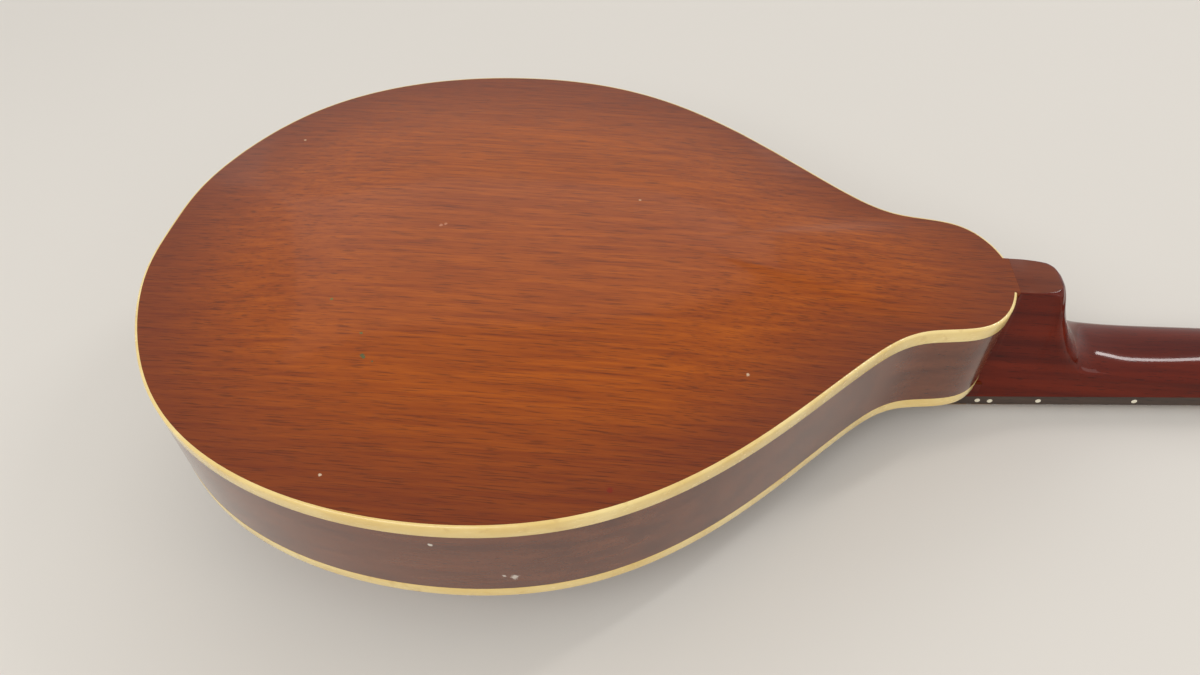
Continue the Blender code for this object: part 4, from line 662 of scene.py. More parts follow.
def archedPlate(name, look, slotName, nodeName, high, wall, edgeDepth, front, tongueWide):
    bm = bmesh.new()
    points, inward = rimPath(0.0, plates["rimCount"])
    half = [(x, max(y, 0.0)) for x, y in points + inward * plates["inset"]]
    loop = half + [(x, -y) for x, y in reversed(half[1:-1])]
    sign = 1 if front else -1
    shares = bm.verts.layers.float.new("edgeShare")
    chain = None
    for step in range(plates["rings"] + 1):
        share = 1 - step / plates["rings"]
        depth = edgeDepth + sign * high * archShare(share)
        ring = [(between(spineAt(x), x, share), y * share, -depth) for x, y in loop]
        chain = extrudeTo(bm, chain, ring) if chain else [bm.verts.new(point) for point in ring]
        for vert in chain:
            vert[shares] = share
    bmesh.ops.remove_doubles(bm, verts=bm.verts, dist=0.02)
    inside = [v for v in bm.verts if not v.is_boundary]
    for _ in range(plates["smoothing"]):
        bmesh.ops.smooth_vert(bm, verts=inside, factor=0.5, use_axis_x=False, use_axis_y=False,
                              use_axis_z=True)
    bmesh.ops.recalc_face_normals(bm, faces=bm.faces)
    if sum(f.normal.z for f in bm.faces) * sign > 0:
        bmesh.ops.reverse_faces(bm, faces=bm.faces)
    bmesh.ops.solidify(bm, geom=bm.faces, thickness=wall)
    # the tongue that runs out to the heel between the ends of the binding
    middle = edgeDepth - sign * (wall / 2 - plates["tongueOut"])
    tongue = bmesh.ops.create_cube(bm, size=1.0)["verts"]
    bmesh.ops.scale(bm, verts=tongue, vec=(plates["tongue"], tongueWide, wall))
    bmesh.ops.translate(bm, verts=tongue, vec=(body["length"] - plates["tongue"] / 2, 0, -middle))
    for vert in tongue:
        vert[shares] = 1.0
    return addPiece(name, bm, bodyFrame, look, slotName, (nodeName,), 50)


def rimBand(name, look, slotName, nodeName, section, heelHalf, side, sharp=35):
    # a strip with the given (inset, depth) section, swept round one half of the rim
    rings = []
    for (x, y), (ix, iy) in zip(*rimPath(heelHalf, plates["bandCount"])):
        y = max(y, 0.02)
        rings.append([(x + ix * inset, side * (y + iy * inset), -depth) for inset, depth in section])
    loftPiece(name, rings, bodyFrame, look, slotName, (nodeName,), sharp)


def roundedBand(near, far, wall, soften):
    # section of a binding strip, rounded at its outer edge next to the plate
    sign = 1 if far > near else -1
    curve = []
    for turn in (0, 22.5, 45, 67.5, 90):
        angle = math.radians(turn)
        curve.append((soften * (1 - math.cos(angle)), near + sign * soften * (1 - math.sin(angle))))
    return [(0.06, far), (0.0, far - sign * 0.2)] + curve + [(wall, near), (wall, far)]


def makeBox():
    depth = body["depth"]
    # tongues: full width; bands: height, wall, rounding and half the gap that they leave at the heel
    values = {
        "backWall": 3.0, "topWall": 3.2, "backTongue": 19.7, "topTongue": 32.7, "backBand": (5.8, 0.9, 9.95),
        "topBand": (5.4, 0.8, 17.4), "bandWall": 1.15, "ribFrom": 5.5, "ribTo": depth - 5.1, "ribIn": 0.1,
        "ribWall": 1.6, "ribGap": 10.0,
    }
    archedPlate("backPlate", "back", "back_mahogany", "back_plate", body["backArch"], values["backWall"],
                0.0, False, values["backTongue"])
    top = archedPlate("topPlate", "top", "sunburst_spruce", "top_plate", body["topArch"],
                      values["topWall"], depth, True, values["topTongue"])
    rib = [(values[inset], values[edge]) for inset, edge in (
        ("ribIn", "ribFrom"), ("ribIn", "ribTo"), ("ribWall", "ribTo"), ("ribWall", "ribFrom"))]
    for word, side in (("bass", -1), ("treble", 1)):
        rimBand("rib" + word.title(), "rib", "rib_mahogany", "rib_" + word, rib, values["ribGap"], side)
        for plate, near, sign in (("back", 0.0, 1), ("top", depth, -1)):
            high, soften, gap = values[plate + "Band"]
            band = roundedBand(near, near + sign * high, values["bandWall"], soften)
            rimBand(f"{plate}Binding{word.title()}", "binding", "ivory_binding",
                    f"{plate}_binding_{word}", band, gap, side, 60)
    return top


def cutSoundHoles(top):
    holes = {
        "x": 167.0, "y": 66.0, "length": 84.0, "width": 7.0, "swing": 15.0, "tailEye": 5.8, "neckEye": 4.6,
        "from": -80.0, "to": -28.0, "taper": 1.1, "eyeOut": 0.6, "steps": 33,
    }
    bm = bmesh.new()
    for side in (-1, 1):
        path = []
        for share in np.linspace(-0.5, 0.5, holes["steps"]):
            x = holes["x"] + share * holes["length"]
            y = holes["y"] - holes["swing"] * math.sin(math.pi * share) / 2
            path.append((x, y, holes["width"] * (1 - holes["taper"] * abs(share)) / 2))
        ring = [(x, side * (y + w)) for x, y, w in path] + [(x, side * (y - w)) for x, y, w in reversed(path)]
        loftOn(bm, [[(x, y, z) for x, y in ring] for z in (holes["to"], holes["from"])])
        for (x, y, _), radius, turn in ((path[0], holes["tailEye"], 1), (path[-1], holes["neckEye"], -1)):
            eye = [(radius, holes["from"]), (radius, holes["to"])]
            turnedOn(bm, eye, "Z", (x, side * (y + turn * radius * holes["eyeOut"]), 0))
    bmesh.ops.recalc_face_normals(bm, faces=bm.faces)
    bm.transform(bodyFrame)
    cutter = addObject("soundHoleCutter", bm)
    cut = top.modifiers.new("soundHoles", "BOOLEAN")
    cut.operation = "DIFFERENCE"
    cut.solver = "EXACT"
    cut.use_self = True
    cut.object = cutter
    graph = bpy.context.evaluated_depsgraph_get()
    cutMesh = bpy.data.meshes.new_from_object(top.evaluated_get(graph))
    top.modifiers.clear()
    top.data = cutMesh
    bpy.data.objects.remove(cutter)


cutSoundHoles(makeBox())
print("body ready")


# Neck, heel and headstock
neck = {
    "halfAtNut": 14.9, "halfAtHeel": 18.8, "heelLength": 18.5, "heelHalf": 9.8, "thickAtHeel": 13.4,
    "thickAtNut": 11.8, "sideAtHeel": 8.2, "sideAtNut": 4.6, "ridge": 1.0, "turns": 16, "past": 20.0,
    "foot": (281.0, 341.0),
}
heelEnd = body["length"] + neck["heelLength"]
# x from the end of the heel, depth of the back, depth where the flat side ends, half of the flat back
heelRows = ((-14.0, 0.0, 0.9, 9.8), (-9.0, 0.0, 0.9, 9.2), (-4.0, 0.0, 1.8, 7.2), (-1.6, 0.0, 7.0, 4.9),
            (0.0, 0.6, 18.5, 1.6))
# x from the end of the heel, and the two depths as shares of the neck's at the body
curveRows = ((3.0, 0.15, 0.475), (6.0, 0.285, 0.575), (11.0, 0.47, 0.68), (17.0, 0.60, 0.74),
             (25.0, 0.655, 0.765))


def underDepth(x):
    return scale["boardDepth"] - math.tan(scale["slope"]) * (x - body["length"])


def overDepth(x):
    return underDepth(x) + scale["boardWall"] / math.cos(scale["slope"])


def boardHalf(x):
    share = (scale["nut"] - x) / (scale["nut"] - body["length"])
    return between(neck["halfAtNut"], neck["halfAtHeel"], share)


def fretX(number):
    return scale["nut"] - scale["length"] * (1 - 2 ** (-number / 12))


def neckSide(x, depth):
    lean = (neck["halfAtHeel"] - neck["heelHalf"]) / scale["boardDepth"]
    return boardHalf(x) - lean * (underDepth(x) - depth)


def neckStations():
    # x, depth of the back of the neck, depth where the flat side ends, half width of the flat back
    seam, high = body["length"], scale["boardDepth"]
    rows = [(seam - 7.0, 2.2, 3.2, 9.8), (seam - 0.3, 2.2, 3.2, 9.8), (seam + 0.05, 0.0, 0.9, 9.8)]
    rows += [(heelEnd + past, back, edge, flat) for past, back, edge, flat in heelRows]
    rows += [(heelEnd + past, back * high, edge * high, neck["ridge"]) for past, back, edge in curveRows]
    for share in (0.0, 0.33, 0.66, 1.0):
        x = between(heelEnd + 36.0, scale["nut"], share)
        thick = between(neck["thickAtHeel"], neck["thickAtNut"], share)
        side = between(neck["sideAtHeel"], neck["sideAtNut"], share)
        rows.append((x, underDepth(x) - thick, underDepth(x) - side, neck["ridge"]))
    return rows


def neckRing(x, back, edge, flat, under):
    third = (under * 2 + edge) / 3
    half = [(x, neckSide(x, depth), -depth) for depth in (under, third, edge)]
    reach = neckSide(x, edge)
    for turn in range(1, neck["turns"] + 1):
        angle = math.pi / 2 * turn / neck["turns"]
        y, depth = flat + (reach - flat) * math.cos(angle), edge - (edge - back) * math.sin(angle)
        half.append((x, y, -depth))
    return mirrored(half)


def makeNeck():
    rows = neckStations()
    columns = list(zip(*rows))
    seam = body["length"]
    wanted = [rows[0][0], seam - 3.0, seam - 0.3, seam + 0.05]
    for low, high, count in ((seam + 1.5, heelEnd - 5, 9), (heelEnd - 4.5, heelEnd + 12, 34),
                             (heelEnd + 13, heelEnd + 40, 22),
                             (heelEnd + 46, scale["nut"] + neck["past"], 24)):
        wanted += list(np.linspace(low, high, count))
    rings = []
    for x in wanted:
        clipped = min(x, scale["nut"])
        back, edge, flat = (smoothThrough(columns[0], column, clipped) for column in columns[1:])
        under = underDepth(clipped) - 0.05
        past = x - clipped
        if past > 0:
            back, edge = back - past * 0.1, edge - past * 0.1
            under -= past * math.tan(math.radians(headstock["angle"])) + 1.2
        rings.append(neckRing(x, max(back, 0.0), edge, flat, under))
    bm = bmesh.new()
    loftOn(bm, rings)
    # the foot of the neck under the end of the board, over the top
    rings = []
    for x in np.linspace(*neck["foot"], 16):
        half = neckSide(x, underDepth(x))
        low, high = -topDepth(x, 0) + 0.3, -underDepth(x) + 0.05
        rings.append([(x, -half, low), (x, half, low), (x, half, high), (x, -half, high)])
    loftOn(bm, rings)
    wood = addPiece("neckShaft", bm, bodyFrame, "neck", "neck_mahogany", ("neck",), 50)
    # the flat end of the heel has the colour of the back
    wood.data.materials.append(looks["heelCap"])
    normal = (bodyFrame.to_3x3() @ Vector((0, 0, 1))).normalized()
    reach = (bodyFrame @ Vector((heelEnd + 1, 0, 0))).x
    for face in wood.data.polygons:
        if face.normal.dot(normal) > 0.985 and face.center.x < reach:
            face.material_index = 1


# share of the headstock's length, half width
headShape = [
    (0.0, 15.2), (0.05, 17.2), (0.12, 23.2), (0.19, 27.5), (0.28, 28.8), (0.6, 31.0), (0.84, 33.0),
    (0.89, 32.4), (0.925, 28.5), (0.945, 22.0), (0.957, 15.0), (0.975, 9.0), (0.995, 5.0),
]


def headHalf(x):
    xs, ys = zip(*[(share * headstock["length"], width) for share, width in headShape])
    return smoothThrough(xs, ys, min(x, xs[-1]))


def makeHeadBoard():
    # its back flows out of the round of the neck
    shape = {"wall": 13.4, "more": 0.6, "round": 0.9, "blend": 24.0, "end": 141.2}
    low = neck["sideAtNut"] / neck["thickAtNut"]
    stations = [*np.linspace(0, 24, 17), *np.linspace(27, 120, 32), *np.linspace(122, shape["end"], 26)]
    rings = []
    for x in stations:
        share = min(1.0, x / shape["blend"])
        share = share * share * (3 - 2 * share)
        half = headHalf(x)
        high = shape["wall"] + shape["more"] * share
        ring = [(x, half, 0.0)]
        for turn in np.linspace(0, math.pi / 2, 15):
            y = math.cos(turn)
            bulge = low + (1 - low) * math.sin(turn)
            inset = min(max(0.0, shape["round"] - (1 - y) * half), shape["round"])
            fall = shape["round"] - math.sqrt(shape["round"] ** 2 - inset**2)
            ring.append((x, y * half, high * between(bulge, 1 - fall / high, share)))
        rings.append(mirrored(ring))
    loftPiece("headstockBoard", rings, headFrame, "neck", "neck_mahogany", sharp=40)


def makeHeadFront():
    cover = {
        "widths": ((2.0, 8.5), (8.0, 9.5), (14.0, 8.6), (20.0, 5.6), (26.0, 4.2), (33.0, 3.6), (36.0, 1.6)),
        "front": -3.7, "wall": 1.5, "edge": 0.35, "screws": ((5.0, 5.5), (5.0, -5.5), (33.0, 0.0)),
        "screw": 1.5,
    }
    veneer = {"front": -1.9, "wall": 1.6, "edge": 0.2}
    stations = sorted({*np.linspace(0, 120, 33), *np.linspace(122, 141.2, 22)})
    bm = bmesh.new()
    slabOn(bm, mirrored([(x, headHalf(x), veneer["front"]) for x in stations]), veneer["wall"])
    roundEdges(bm, veneer["edge"], 2, 50)
    addPiece("headstockVeneer", bm, headFrame, "veneer", "black_veneer", ("headstock_veneer",), 30)
    xs, ys = zip(*cover["widths"])
    stations = np.linspace(xs[0], xs[-1], 30)
    bm = bmesh.new()
    slabOn(bm, mirrored([(x, smoothThrough(xs, ys, x), cover["front"]) for x in stations]), cover["wall"])
    roundEdges(bm, cover["edge"], 2, 50)
    addPiece("rodCover", bm, headFrame, "black", "black_plastic", ("truss_rod_cover",), 30)
    for number, (x, y) in enumerate(cover["screws"], 1):
        screwHead("rodCoverScrew" + str(number), headFrame, (x, y, cover["front"]), -1, cover["screw"])


# Fingerboard with its frets and position dots
board = {"wire": 1.0, "wireHalf": 1.1, "seat": 0.45, "dots": (3, 5, 7, 10, 15), "dot": 3.2, "sideDot": 1.1,
         "pair": 12, "overhang": 5.0}
boardEnd = fretX(scale["frets"]) - board["overhang"]


def makeFingerboard():
    rings = []
    for x in np.linspace(boardEnd, scale["nut"], 60):
        half, near, far = boardHalf(x), underDepth(x), overDepth(x)
        ring = [(x, -half, -near), (x, half, -near)]
        for a in np.linspace(0, math.pi, 9):
            ring.append((x, half * math.cos(a), -far + 0.4 * math.cos(a) ** 2))
        rings.append(ring)
    loftPiece("fingerboardWood", rings, bodyFrame, "board", "rosewood_board", ("fingerboard",), 40)


def makeFrets():
    # crown of the wire across it; its ends slope down
    crown = [(board["wireHalf"] * math.cos(a), board["wire"] * math.sin(a) ** 0.8)
             for a in np.linspace(0, math.pi, 9)]
    slopes = ((0.0, 0.75), (0.6, 0.2), (1.4, 0.0))
    bm = bmesh.new()
    for number in range(1, scale["frets"] + 1):
        x = fretX(number)
        half = boardHalf(x) - 0.15
        ends = [(past - half, low) for past, low in slopes]
        rings = []
        for y, low in ends + [(-y, low) for y, low in reversed(ends)]:
            ring = []
            for dx, rise in crown:
                seat = board["seat"] if rise > 0.1 else 0.0
                ring.append((x + dx, y, -(overDepth(x) - board["seat"] + max(rise - low, 0.0) + seat)))
            rings.append(ring)
        loftOn(bm, rings)
    addPiece("frets", bm, bodyFrame, "fret", "nickel", sharp=50)


def makeDots():
    bm = bmesh.new()
    sides = bmesh.new()
    for number in board["dots"] + (board["pair"],):
        x = (fretX(number) + fretX(number - 1)) / 2
        pair = number == board["pair"]
        dot = [(board["dot"], -overDepth(x) - 0.03), (board["dot"], -overDepth(x) + 1.2)]
        for y in (6.5, -6.5) if pair else (0.0,):
            turnedOn(bm, dot, "Z", (x, y, 0), 28)
        for shift in (-2.6, 2.6) if pair else (0.0,):
            y = -boardHalf(x + shift)
            dot = [(board["sideDot"], y - 0.04), (board["sideDot"], y + 1.0)]
            turnedOn(sides, dot, "Y", (x + shift, 0, -(underDepth(x) + overDepth(x)) / 2), 20)
    addPiece("boardDots", bm, bodyFrame, "pearl", "bone")
    addPiece("sideDots", sides, bodyFrame, "pearl", "bone")


# Strings: the places of their four pairs, and how deep they lie
strings = {
    "names": ("e1", "e2", "a1", "a2", "d1", "d2", "g1", "g2"),
    "thick": (0.28, 0.28, 0.38, 0.38, 0.63, 0.63, 0.97, 0.97), "gap": 2.0, "atNut": 23.0, "atSaddle": 40.0,
    "tail": 0.62, "hookX": 22.0, "hookDepth": 56.9, "behind": 139.0, "saddleX": 162.1, "sides": 8,
    "coil": 2.55, "coilLevel": -8.6, "strand": 0.14, "twists": 44, "overNut": 1.75, "overTwelfth": 3.1,
    "woundFrom": 0.5, "woundTurns": 2.3, "plainTurns": 3.2, "turnSteps": 18, "turnPitch": 1.05,
    "behindAt": (50.0, 100.0, 150.0), "frontAt": (175.0, 250.0, 340.0, 430.0, 505.0),
    # distance past the nut's edge, fall there
    "pastNut": ((2.4, 0.35), (4.4, 0.9)),
}


def stringPlaces(width):
    middle = (width - strings["gap"]) / 3
    return [width / 2 - course * middle - pair * strings["gap"] for course in range(4) for pair in range(2)]


def stringDepth(x):
    atNut = overDepth(scale["nut"]) + strings["overNut"]
    atTwelfth = overDepth(fretX(12)) + strings["overTwelfth"]
    return between(atNut, atTwelfth, (scale["nut"] - x) / (scale["nut"] - fretX(12)))


def makeNut():
    half = neck["halfAtNut"]
    # crown: distance along the strings, fall of the top there
    values = {
        "gap": 0.1, "foot": 0.3, "over": 1.1, "corner": (0.6, 0.8), "slot": (0.35, 0.55, 0.5),
        "crown": ((0.0, 0.25), (0.4, 0.0), (2.4, 0.1), (4.2, 0.9), (4.6, 1.5)),
    }
    x = scale["nut"] + values["gap"]
    near, far = underDepth(scale["nut"]) + values["foot"], overDepth(scale["nut"]) + values["over"]
    inner, outer, deep = values["slot"]
    across, down = values["corner"]
    face = [(-half, far - down), (across - half, far)]
    for y in sorted(stringPlaces(strings["atNut"])):
        face += [(y - outer, far), (y - inner, far - deep), (y + inner, far - deep), (y + outer, far)]
    face += [(half - across, far), (half, far - down)]
    rings = []
    for step, fall in values["crown"]:
        ring = [(x + step, y, fall - depth) for y, depth in face]
        rings.append(ring + [(x + step, half, -near), (x + step, -half, -near)])
    loftPiece("nutBone", rings, bodyFrame, "bone", "bone", ("nut",), 30)


makeNeck()
makeHeadBoard()
makeHeadFront()
makeFingerboard()
makeFrets()
makeDots()
makeNut()
print("neck, headstock and fingerboard ready")


# Tuning machines
tuner = {
    "count": 4, "pitch": 23.2, "firstX": 36.0, "y": 16.5, "plateTop": 15.5, "level": 18.4, "gear": 4.8,
    "tooth": 0.8, "gearWall": 3.6, "teeth": 14, "wormX": 8.25, "worm": 2.3, "thread": 0.3, "starts": 4,
    "wormLength": 9.0, "buttonFrom": 22.5, "buttonWide": 14.5, "buttonThick": 7.0,
    "shaft": [(2.3, -16.0), (2.8, -15.6), (3.0, -15.0), (3.0, -10.4), (2.55, -9.6), (2.45, -8.0),
              (2.55, -6.4), (3.0, -5.6)],
    "button": ((2.4, -0.1), (2.6, 0.6), (3.4, 1.6), (5.0, 3.2), (6.3, 5.2), (7.0, 7.4), (7.25, 9.4),
               (6.9, 11.2), (5.9, 12.4), (4.0, 13.0)),
    "buttonNeck": 4.0, "toothSide": 0.12, "stem": 1.4, "stemPast": 2.6, "wormSteps": 24,
    "collar": [(1.4, 20.2), (2.3, 20.4), (2.5, 21.4), (2.4, 22.6)],
    "tip": ((2.2, -0.1), (2.2, 0.7), (1.8, 1.0)),
    "washer": ((3.3, -1.9), (5.0, -1.9), (5.0, -2.2), (4.4, -2.7), (3.3, -2.7)),
    # plate's screws: distance before the first post, distance past the last one, radius
    "screws": (9.6, 15.0, 1.8),
}


def postAt(number, side):
    return Vector((tuner["firstX"] + number * tuner["pitch"], side * tuner["y"], 0))


def makePost(name, at):
    low = tuner["level"] - tuner["gearWall"] / 2
    high = low + tuner["gearWall"]
    bm = bmesh.new()
    turnedOn(bm, tuner["shaft"] + [(3.0, low + 0.2)], "Z", at, 28)
    # gear: a blank whose every second face stands out as a tooth
    blank = bmesh.ops.create_cone(bm, cap_ends=True, segments=2 * tuner["teeth"], radius1=tuner["gear"],
                                  radius2=tuner["gear"], depth=tuner["gearWall"])["verts"]
    bmesh.ops.translate(bm, verts=blank, vec=(at.x, at.y, tuner["level"]))
    around = {}
    for face in {f for v in blank for f in v.link_faces if abs(f.normal.z) < 0.5}:
        middle = face.calc_center_median() - at
        around[math.atan2(middle.y, middle.x)] = face
    teeth = [around[angle] for angle in sorted(around)][::2]
    bmesh.ops.inset_individual(bm, faces=teeth, thickness=tuner["toothSide"], depth=0.0)
    for face in teeth:
        bmesh.ops.translate(bm, verts=face.verts, vec=face.normal * tuner["tooth"])
    turnedOn(bm, [(radius, high + past) for radius, past in tuner["tip"]], "Z", at, 20)
    owner = "tuner_post_" + name
    addPiece("post" + name, bm, headFrame, "nickel", "nickel", (owner,), rider=owner)


def makeKey(name, side, at):
    half, thin = tuner["wormLength"] / 2, tuner["stem"]
    at = at + Vector((tuner["wormX"], 0, tuner["level"]))
    owner = "tuner_key_" + name
    stem = [(thin, -half - tuner["stemPast"]), (thin, -half - 0.05)]
    for step in range(tuner["wormSteps"] + 1):
        share = step / tuner["wormSteps"]
        wave = math.cos(math.tau * tuner["starts"] * share)
        stem.append((tuner["worm"] - tuner["thread"] * (1 - wave), between(-half, half, share)))
    stem += [(thin, half + 0.05)] + tuner["collar"]
    stem = [(radius, side * reach) for radius, reach in stem]
    turnedPiece("worm" + name, stem, "Y", at, 24, headFrame, "nickel", "nickel", (owner,), 40, owner)
    # button: a cushion shape, turned and then squeezed
    first = tuner["buttonFrom"]
    bm = bmesh.new()
    turnedOn(bm, [(radius, side * (first + reach)) for radius, reach in tuner["button"]], "Y", (0, 0, 0))
    for vert in bm.verts:
        share = min(max((abs(vert.co.y) - first) / tuner["buttonNeck"], 0.0), 1.0)
        vert.co.z *= 1 - share * (1 - tuner["buttonThick"] / tuner["buttonWide"])
    bmesh.ops.translate(bm, verts=bm.verts, vec=at)
    addPiece("button" + name, bm, headFrame, "button", "cream_button", (), 60, owner)


def makeTuners():
    before, after, radius = tuner["screws"]
    last = (tuner["count"] - 1) * tuner["pitch"]
    washers = bmesh.new()
    for word, side in (("bass", -1), ("treble", 1)):
        softCopy("tuner_plate_" + word, "tunerPlate" + word.title(), "nickel", "nickel", 0.00025)
        for number in range(tuner["count"]):
            at = postAt(number, side)
            makePost(f"{word}_{number + 1}", at)
            makeKey(f"{word}_{number + 1}", side, at)
            boredOn(washers, tuner["washer"], at, 28)
        for number, past in enumerate((-before, last + after), 1):
            at = (tuner["firstX"] + past, side * tuner["y"], tuner["plateTop"])
            screwHead(f"plateScrew{word.title()}{number}", headFrame, at, 1, radius)
    # where the posts come through the front of the headstock
    addPiece("postWashers", washers, headFrame, "nickel", "nickel")


def tubeOn(bm, points, radius, sides):
    # a round wire along the points
    points = [Vector(p) for p in points]
    rings, lastSide = [], None
    for i, point in enumerate(points):
        ahead = (points[min(i + 1, len(points) - 1)] - points[max(i - 1, 0)]).normalized()
        side = (lastSide - ahead * lastSide.dot(ahead)) if lastSide else ahead.orthogonal()
        side = lastSide = side.normalized()
        other = ahead.cross(side)
        turns = [math.tau * s / sides for s in range(sides)]
        rings.append([point + (side * math.cos(a) + other * math.sin(a)) * radius for a in turns])
    loftOn(bm, rings)


def loopOn(bm, tail, saddle, radius):
    # the twisted loop over its hook
    values = {"from": 1.4, "long": 2.4, "wide": 0.702, "twistLong": 8.0}
    hookX, hookDepth, strand = strings["hookX"], strings["hookDepth"], strings["strand"]
    fall = stringDepth(strings["saddleX"]) - hookDepth
    loop = []
    for a in np.linspace(0.0, math.pi, 15):
        loop.append((hookX + values["from"] - values["long"] * math.sin(a) ** 2,
                     tail + values["wide"] * math.sin(2 * a), -hookDepth - 0.05))
    twist = []
    for t in np.linspace(0, 1, 60):
        reach, angle = values["twistLong"] * t, t * strings["twists"]
        y = tail + (saddle - tail) * (0.5 + reach) / strings["behind"]
        depth = hookDepth + 0.1 + fall * reach / strings["behind"]
        twist.append((hookX + 1.5 + reach, y + (radius + strand) * math.cos(angle),
                      -depth - (radius + strand) * math.sin(angle)))
    tubeOn(bm, loop, strand, 6)
    tubeOn(bm, twist, strand, 6)


def makeStrings():
    nutPlaces, saddlePlaces = stringPlaces(strings["atNut"]), stringPlaces(strings["atSaddle"])
    toHead = headFrame.inverted() @ bodyFrame
    hookX, saddleX, hookDepth = strings["hookX"], strings["saddleX"], strings["hookDepth"]
    for index, (name, thick) in enumerate(zip(strings["names"], strings["thick"])):
        side, number = (1, index) if index < 4 else (-1, 7 - index)
        nut, saddle = nutPlaces[index], saddlePlaces[index]
        tail = saddle * strings["tail"]
        wound = thick > strings["woundFrom"]
        points = [(hookX + 1.3, tail, -hookDepth)]
        for x in strings["behindAt"]:
            share = (x - hookX - 1.0) / (saddleX - hookX - 1.0)
            points.append((x, between(tail, saddle, share), -between(hookDepth, stringDepth(saddleX), share)))
        for x in (saddleX, *strings["frontAt"], scale["nut"]):
            share = (x - saddleX) / (scale["nut"] - saddleX)
            points.append((x, between(saddle, nut, share), -stringDepth(x)))
        for past, rise in strings["pastNut"]:
            points.append((scale["nut"] + past, nut, rise - stringDepth(scale["nut"])))
        # on to the post, in the headstock's frame, and round it
        inHead = [toHead @ Vector(p) for p in points]
        coil = strings["coil"] + thick / 2
        post = postAt(number, side)
        flat = Vector((post.x - inHead[-1].x, post.y - inHead[-1].y))
        touch = math.asin(min(1.0, coil / flat.length))
        start = math.atan2(-flat.y, -flat.x) + side * (math.pi / 2 - touch)
        turns = strings["woundTurns"] if wound else strings["plainTurns"]
        count = int(turns * strings["turnSteps"])
        for step in range(count + 1):
            turned = turns * step / count
            angle = start + side * math.tau * turned
            inHead.append(Vector((post.x + coil * math.cos(angle), post.y + coil * math.sin(angle),
                                  strings["coilLevel"] + thick * strings["turnPitch"] * turned)))
        bm = bmesh.new()
        tubeOn(bm, inHead, thick / 2, strings["sides"])
        bm.transform(toHead.inverted())
        loopOn(bm, tail, saddle, thick / 2)
        look = "woundString" if wound else "plainString"
        addPiece("string" + name.title(), bm, bodyFrame, look, "string_metal", ("string_" + name,), 60)


# Bridge
bridge = {
    "x": 162.1, "half": 56.0, "saddle": 9.0, "over": 0.2, "gap": 0.35, "wheelHigh": 2.4, "studs": 28.0,
    "teeth": 36, "tooth": 0.35, "threads": 16, "steps": 57, "glue": 0.3, "relief": 2.4, "reliefHalf": 24.0,
    "wide": 5.5, "crest": 0.6, "foot": 1.1, "end": 2.2,
    # share of the way to the end, share of the way down there
    "fall": ((0.0, 0.0), (0.5, 0.0), (0.62, 0.25), (0.85, 0.85), (1.0, 1.0)),
}
saddleFoot = stringDepth(bridge["x"]) + max(strings["thick"]) / 2 + bridge["over"] - bridge["saddle"]
baseTop = saddleFoot - bridge["wheelHigh"] - 2.0 - 2 * bridge["gap"]


def makeBridgeFoot():
    rings = []
    for y in np.linspace(-bridge["half"], bridge["half"], bridge["steps"]):
        share = abs(y) / bridge["half"]
        glued = topDepth(bridge["x"], abs(y)) + bridge["glue"]
        hollow = max(0.0, math.cos(math.pi / 2 * min(1.0, abs(y) / bridge["reliefHalf"]))) ** 0.6
        over = between(baseTop, glued + bridge["end"], smoothThrough(*zip(*bridge["fall"]), share))
        # narrower towards its ends, with their corners taken off
        wide = bridge["wide"] * (1 - 1.25 * max(0.0, share - 0.8)) - (1.6 if share > 0.985 else 0.0)
        low, crest = -glued - bridge["relief"] * hollow, wide * bridge["crest"]
        side = low - bridge["foot"]
        section = ((-wide, low), (wide, low), (wide, side), (crest + 0.3, 0.5 - over), (crest - 0.6, -over),
                   (0.6 - crest, -over), (-crest - 0.3, 0.5 - over), (-wide, side))
        rings.append([(bridge["x"] + dx, y, z) for dx, z in section])
    loftPiece("bridgeFoot", rings, bodyFrame, "bridge", "bridge_rosewood", ("bridge_base",), 30)


def makeBridge():
    softCopy("bridge_saddle", "saddleWood", "bridge", "bridge_rosewood", angle=40, rider="saddle")
    makeBridgeFoot()
    high, steps = bridge["wheelHigh"], 2 * bridge["teeth"]
    wheel = ((1.95, 0.0), (4.5, 0.0), (5.0, 0.35), (5.0, high - 0.35), (4.5, high), (1.95, high))
    low, top = -(saddleFoot + 4.0), 3.0 - baseTop
    thread = []
    for step in range(2 * bridge["threads"] + 1):
        at = between(low, top, step / (2 * bridge["threads"]))
        thread.append((1.6 if step % 2 else 1.35, at))
    for word, side in (("bass", -1), ("treble", 1)):
        y = side * bridge["studs"]
        # knurled wheel with a bore for its stud
        bm = bmesh.new()
        at = Vector((bridge["x"], y, bridge["gap"] - saddleFoot))
        boredOn(bm, wheel, at, steps)
        for vert in bm.verts:
            way = Vector((vert.co.x - at.x, vert.co.y - at.y, 0))
            if way.length > 4.9 and round(math.atan2(way.y, way.x) / math.tau * steps) % 2:
                vert.co -= way.normalized() * bridge["tooth"]
        owner = "thumbwheel_" + word
        addPiece("thumbwheel" + word.title(), bm, bodyFrame, "brass", "brass", (owner,), 25, owner)
        turnedPiece("stud" + word.title(), thread, "Z", (bridge["x"], y, 0), 24, bodyFrame, "brass",
                    "brass", ("bridge_stud_" + word,), 25)


# Tailpiece, its cover and the end pin
lid = {
    "from": -2.85, "length": 51.95, "half": 18.95, "back": 52.6, "face": 59.85, "frontFace": 63.0,
    "wall": 1.0, "shoulder": 4.0, "corner": 2.0, "side": 2.4, "grooves": (9.0, 11.0, 42.0, 44.0),
    "groove": 0.35, "grooveWide": 0.45,
}


def roundIn(radius, reach):
    # how far a rounded edge lies inside its corner at this reach from the end
    return radius - math.sqrt(radius**2 - max(0.0, radius - reach) ** 2)


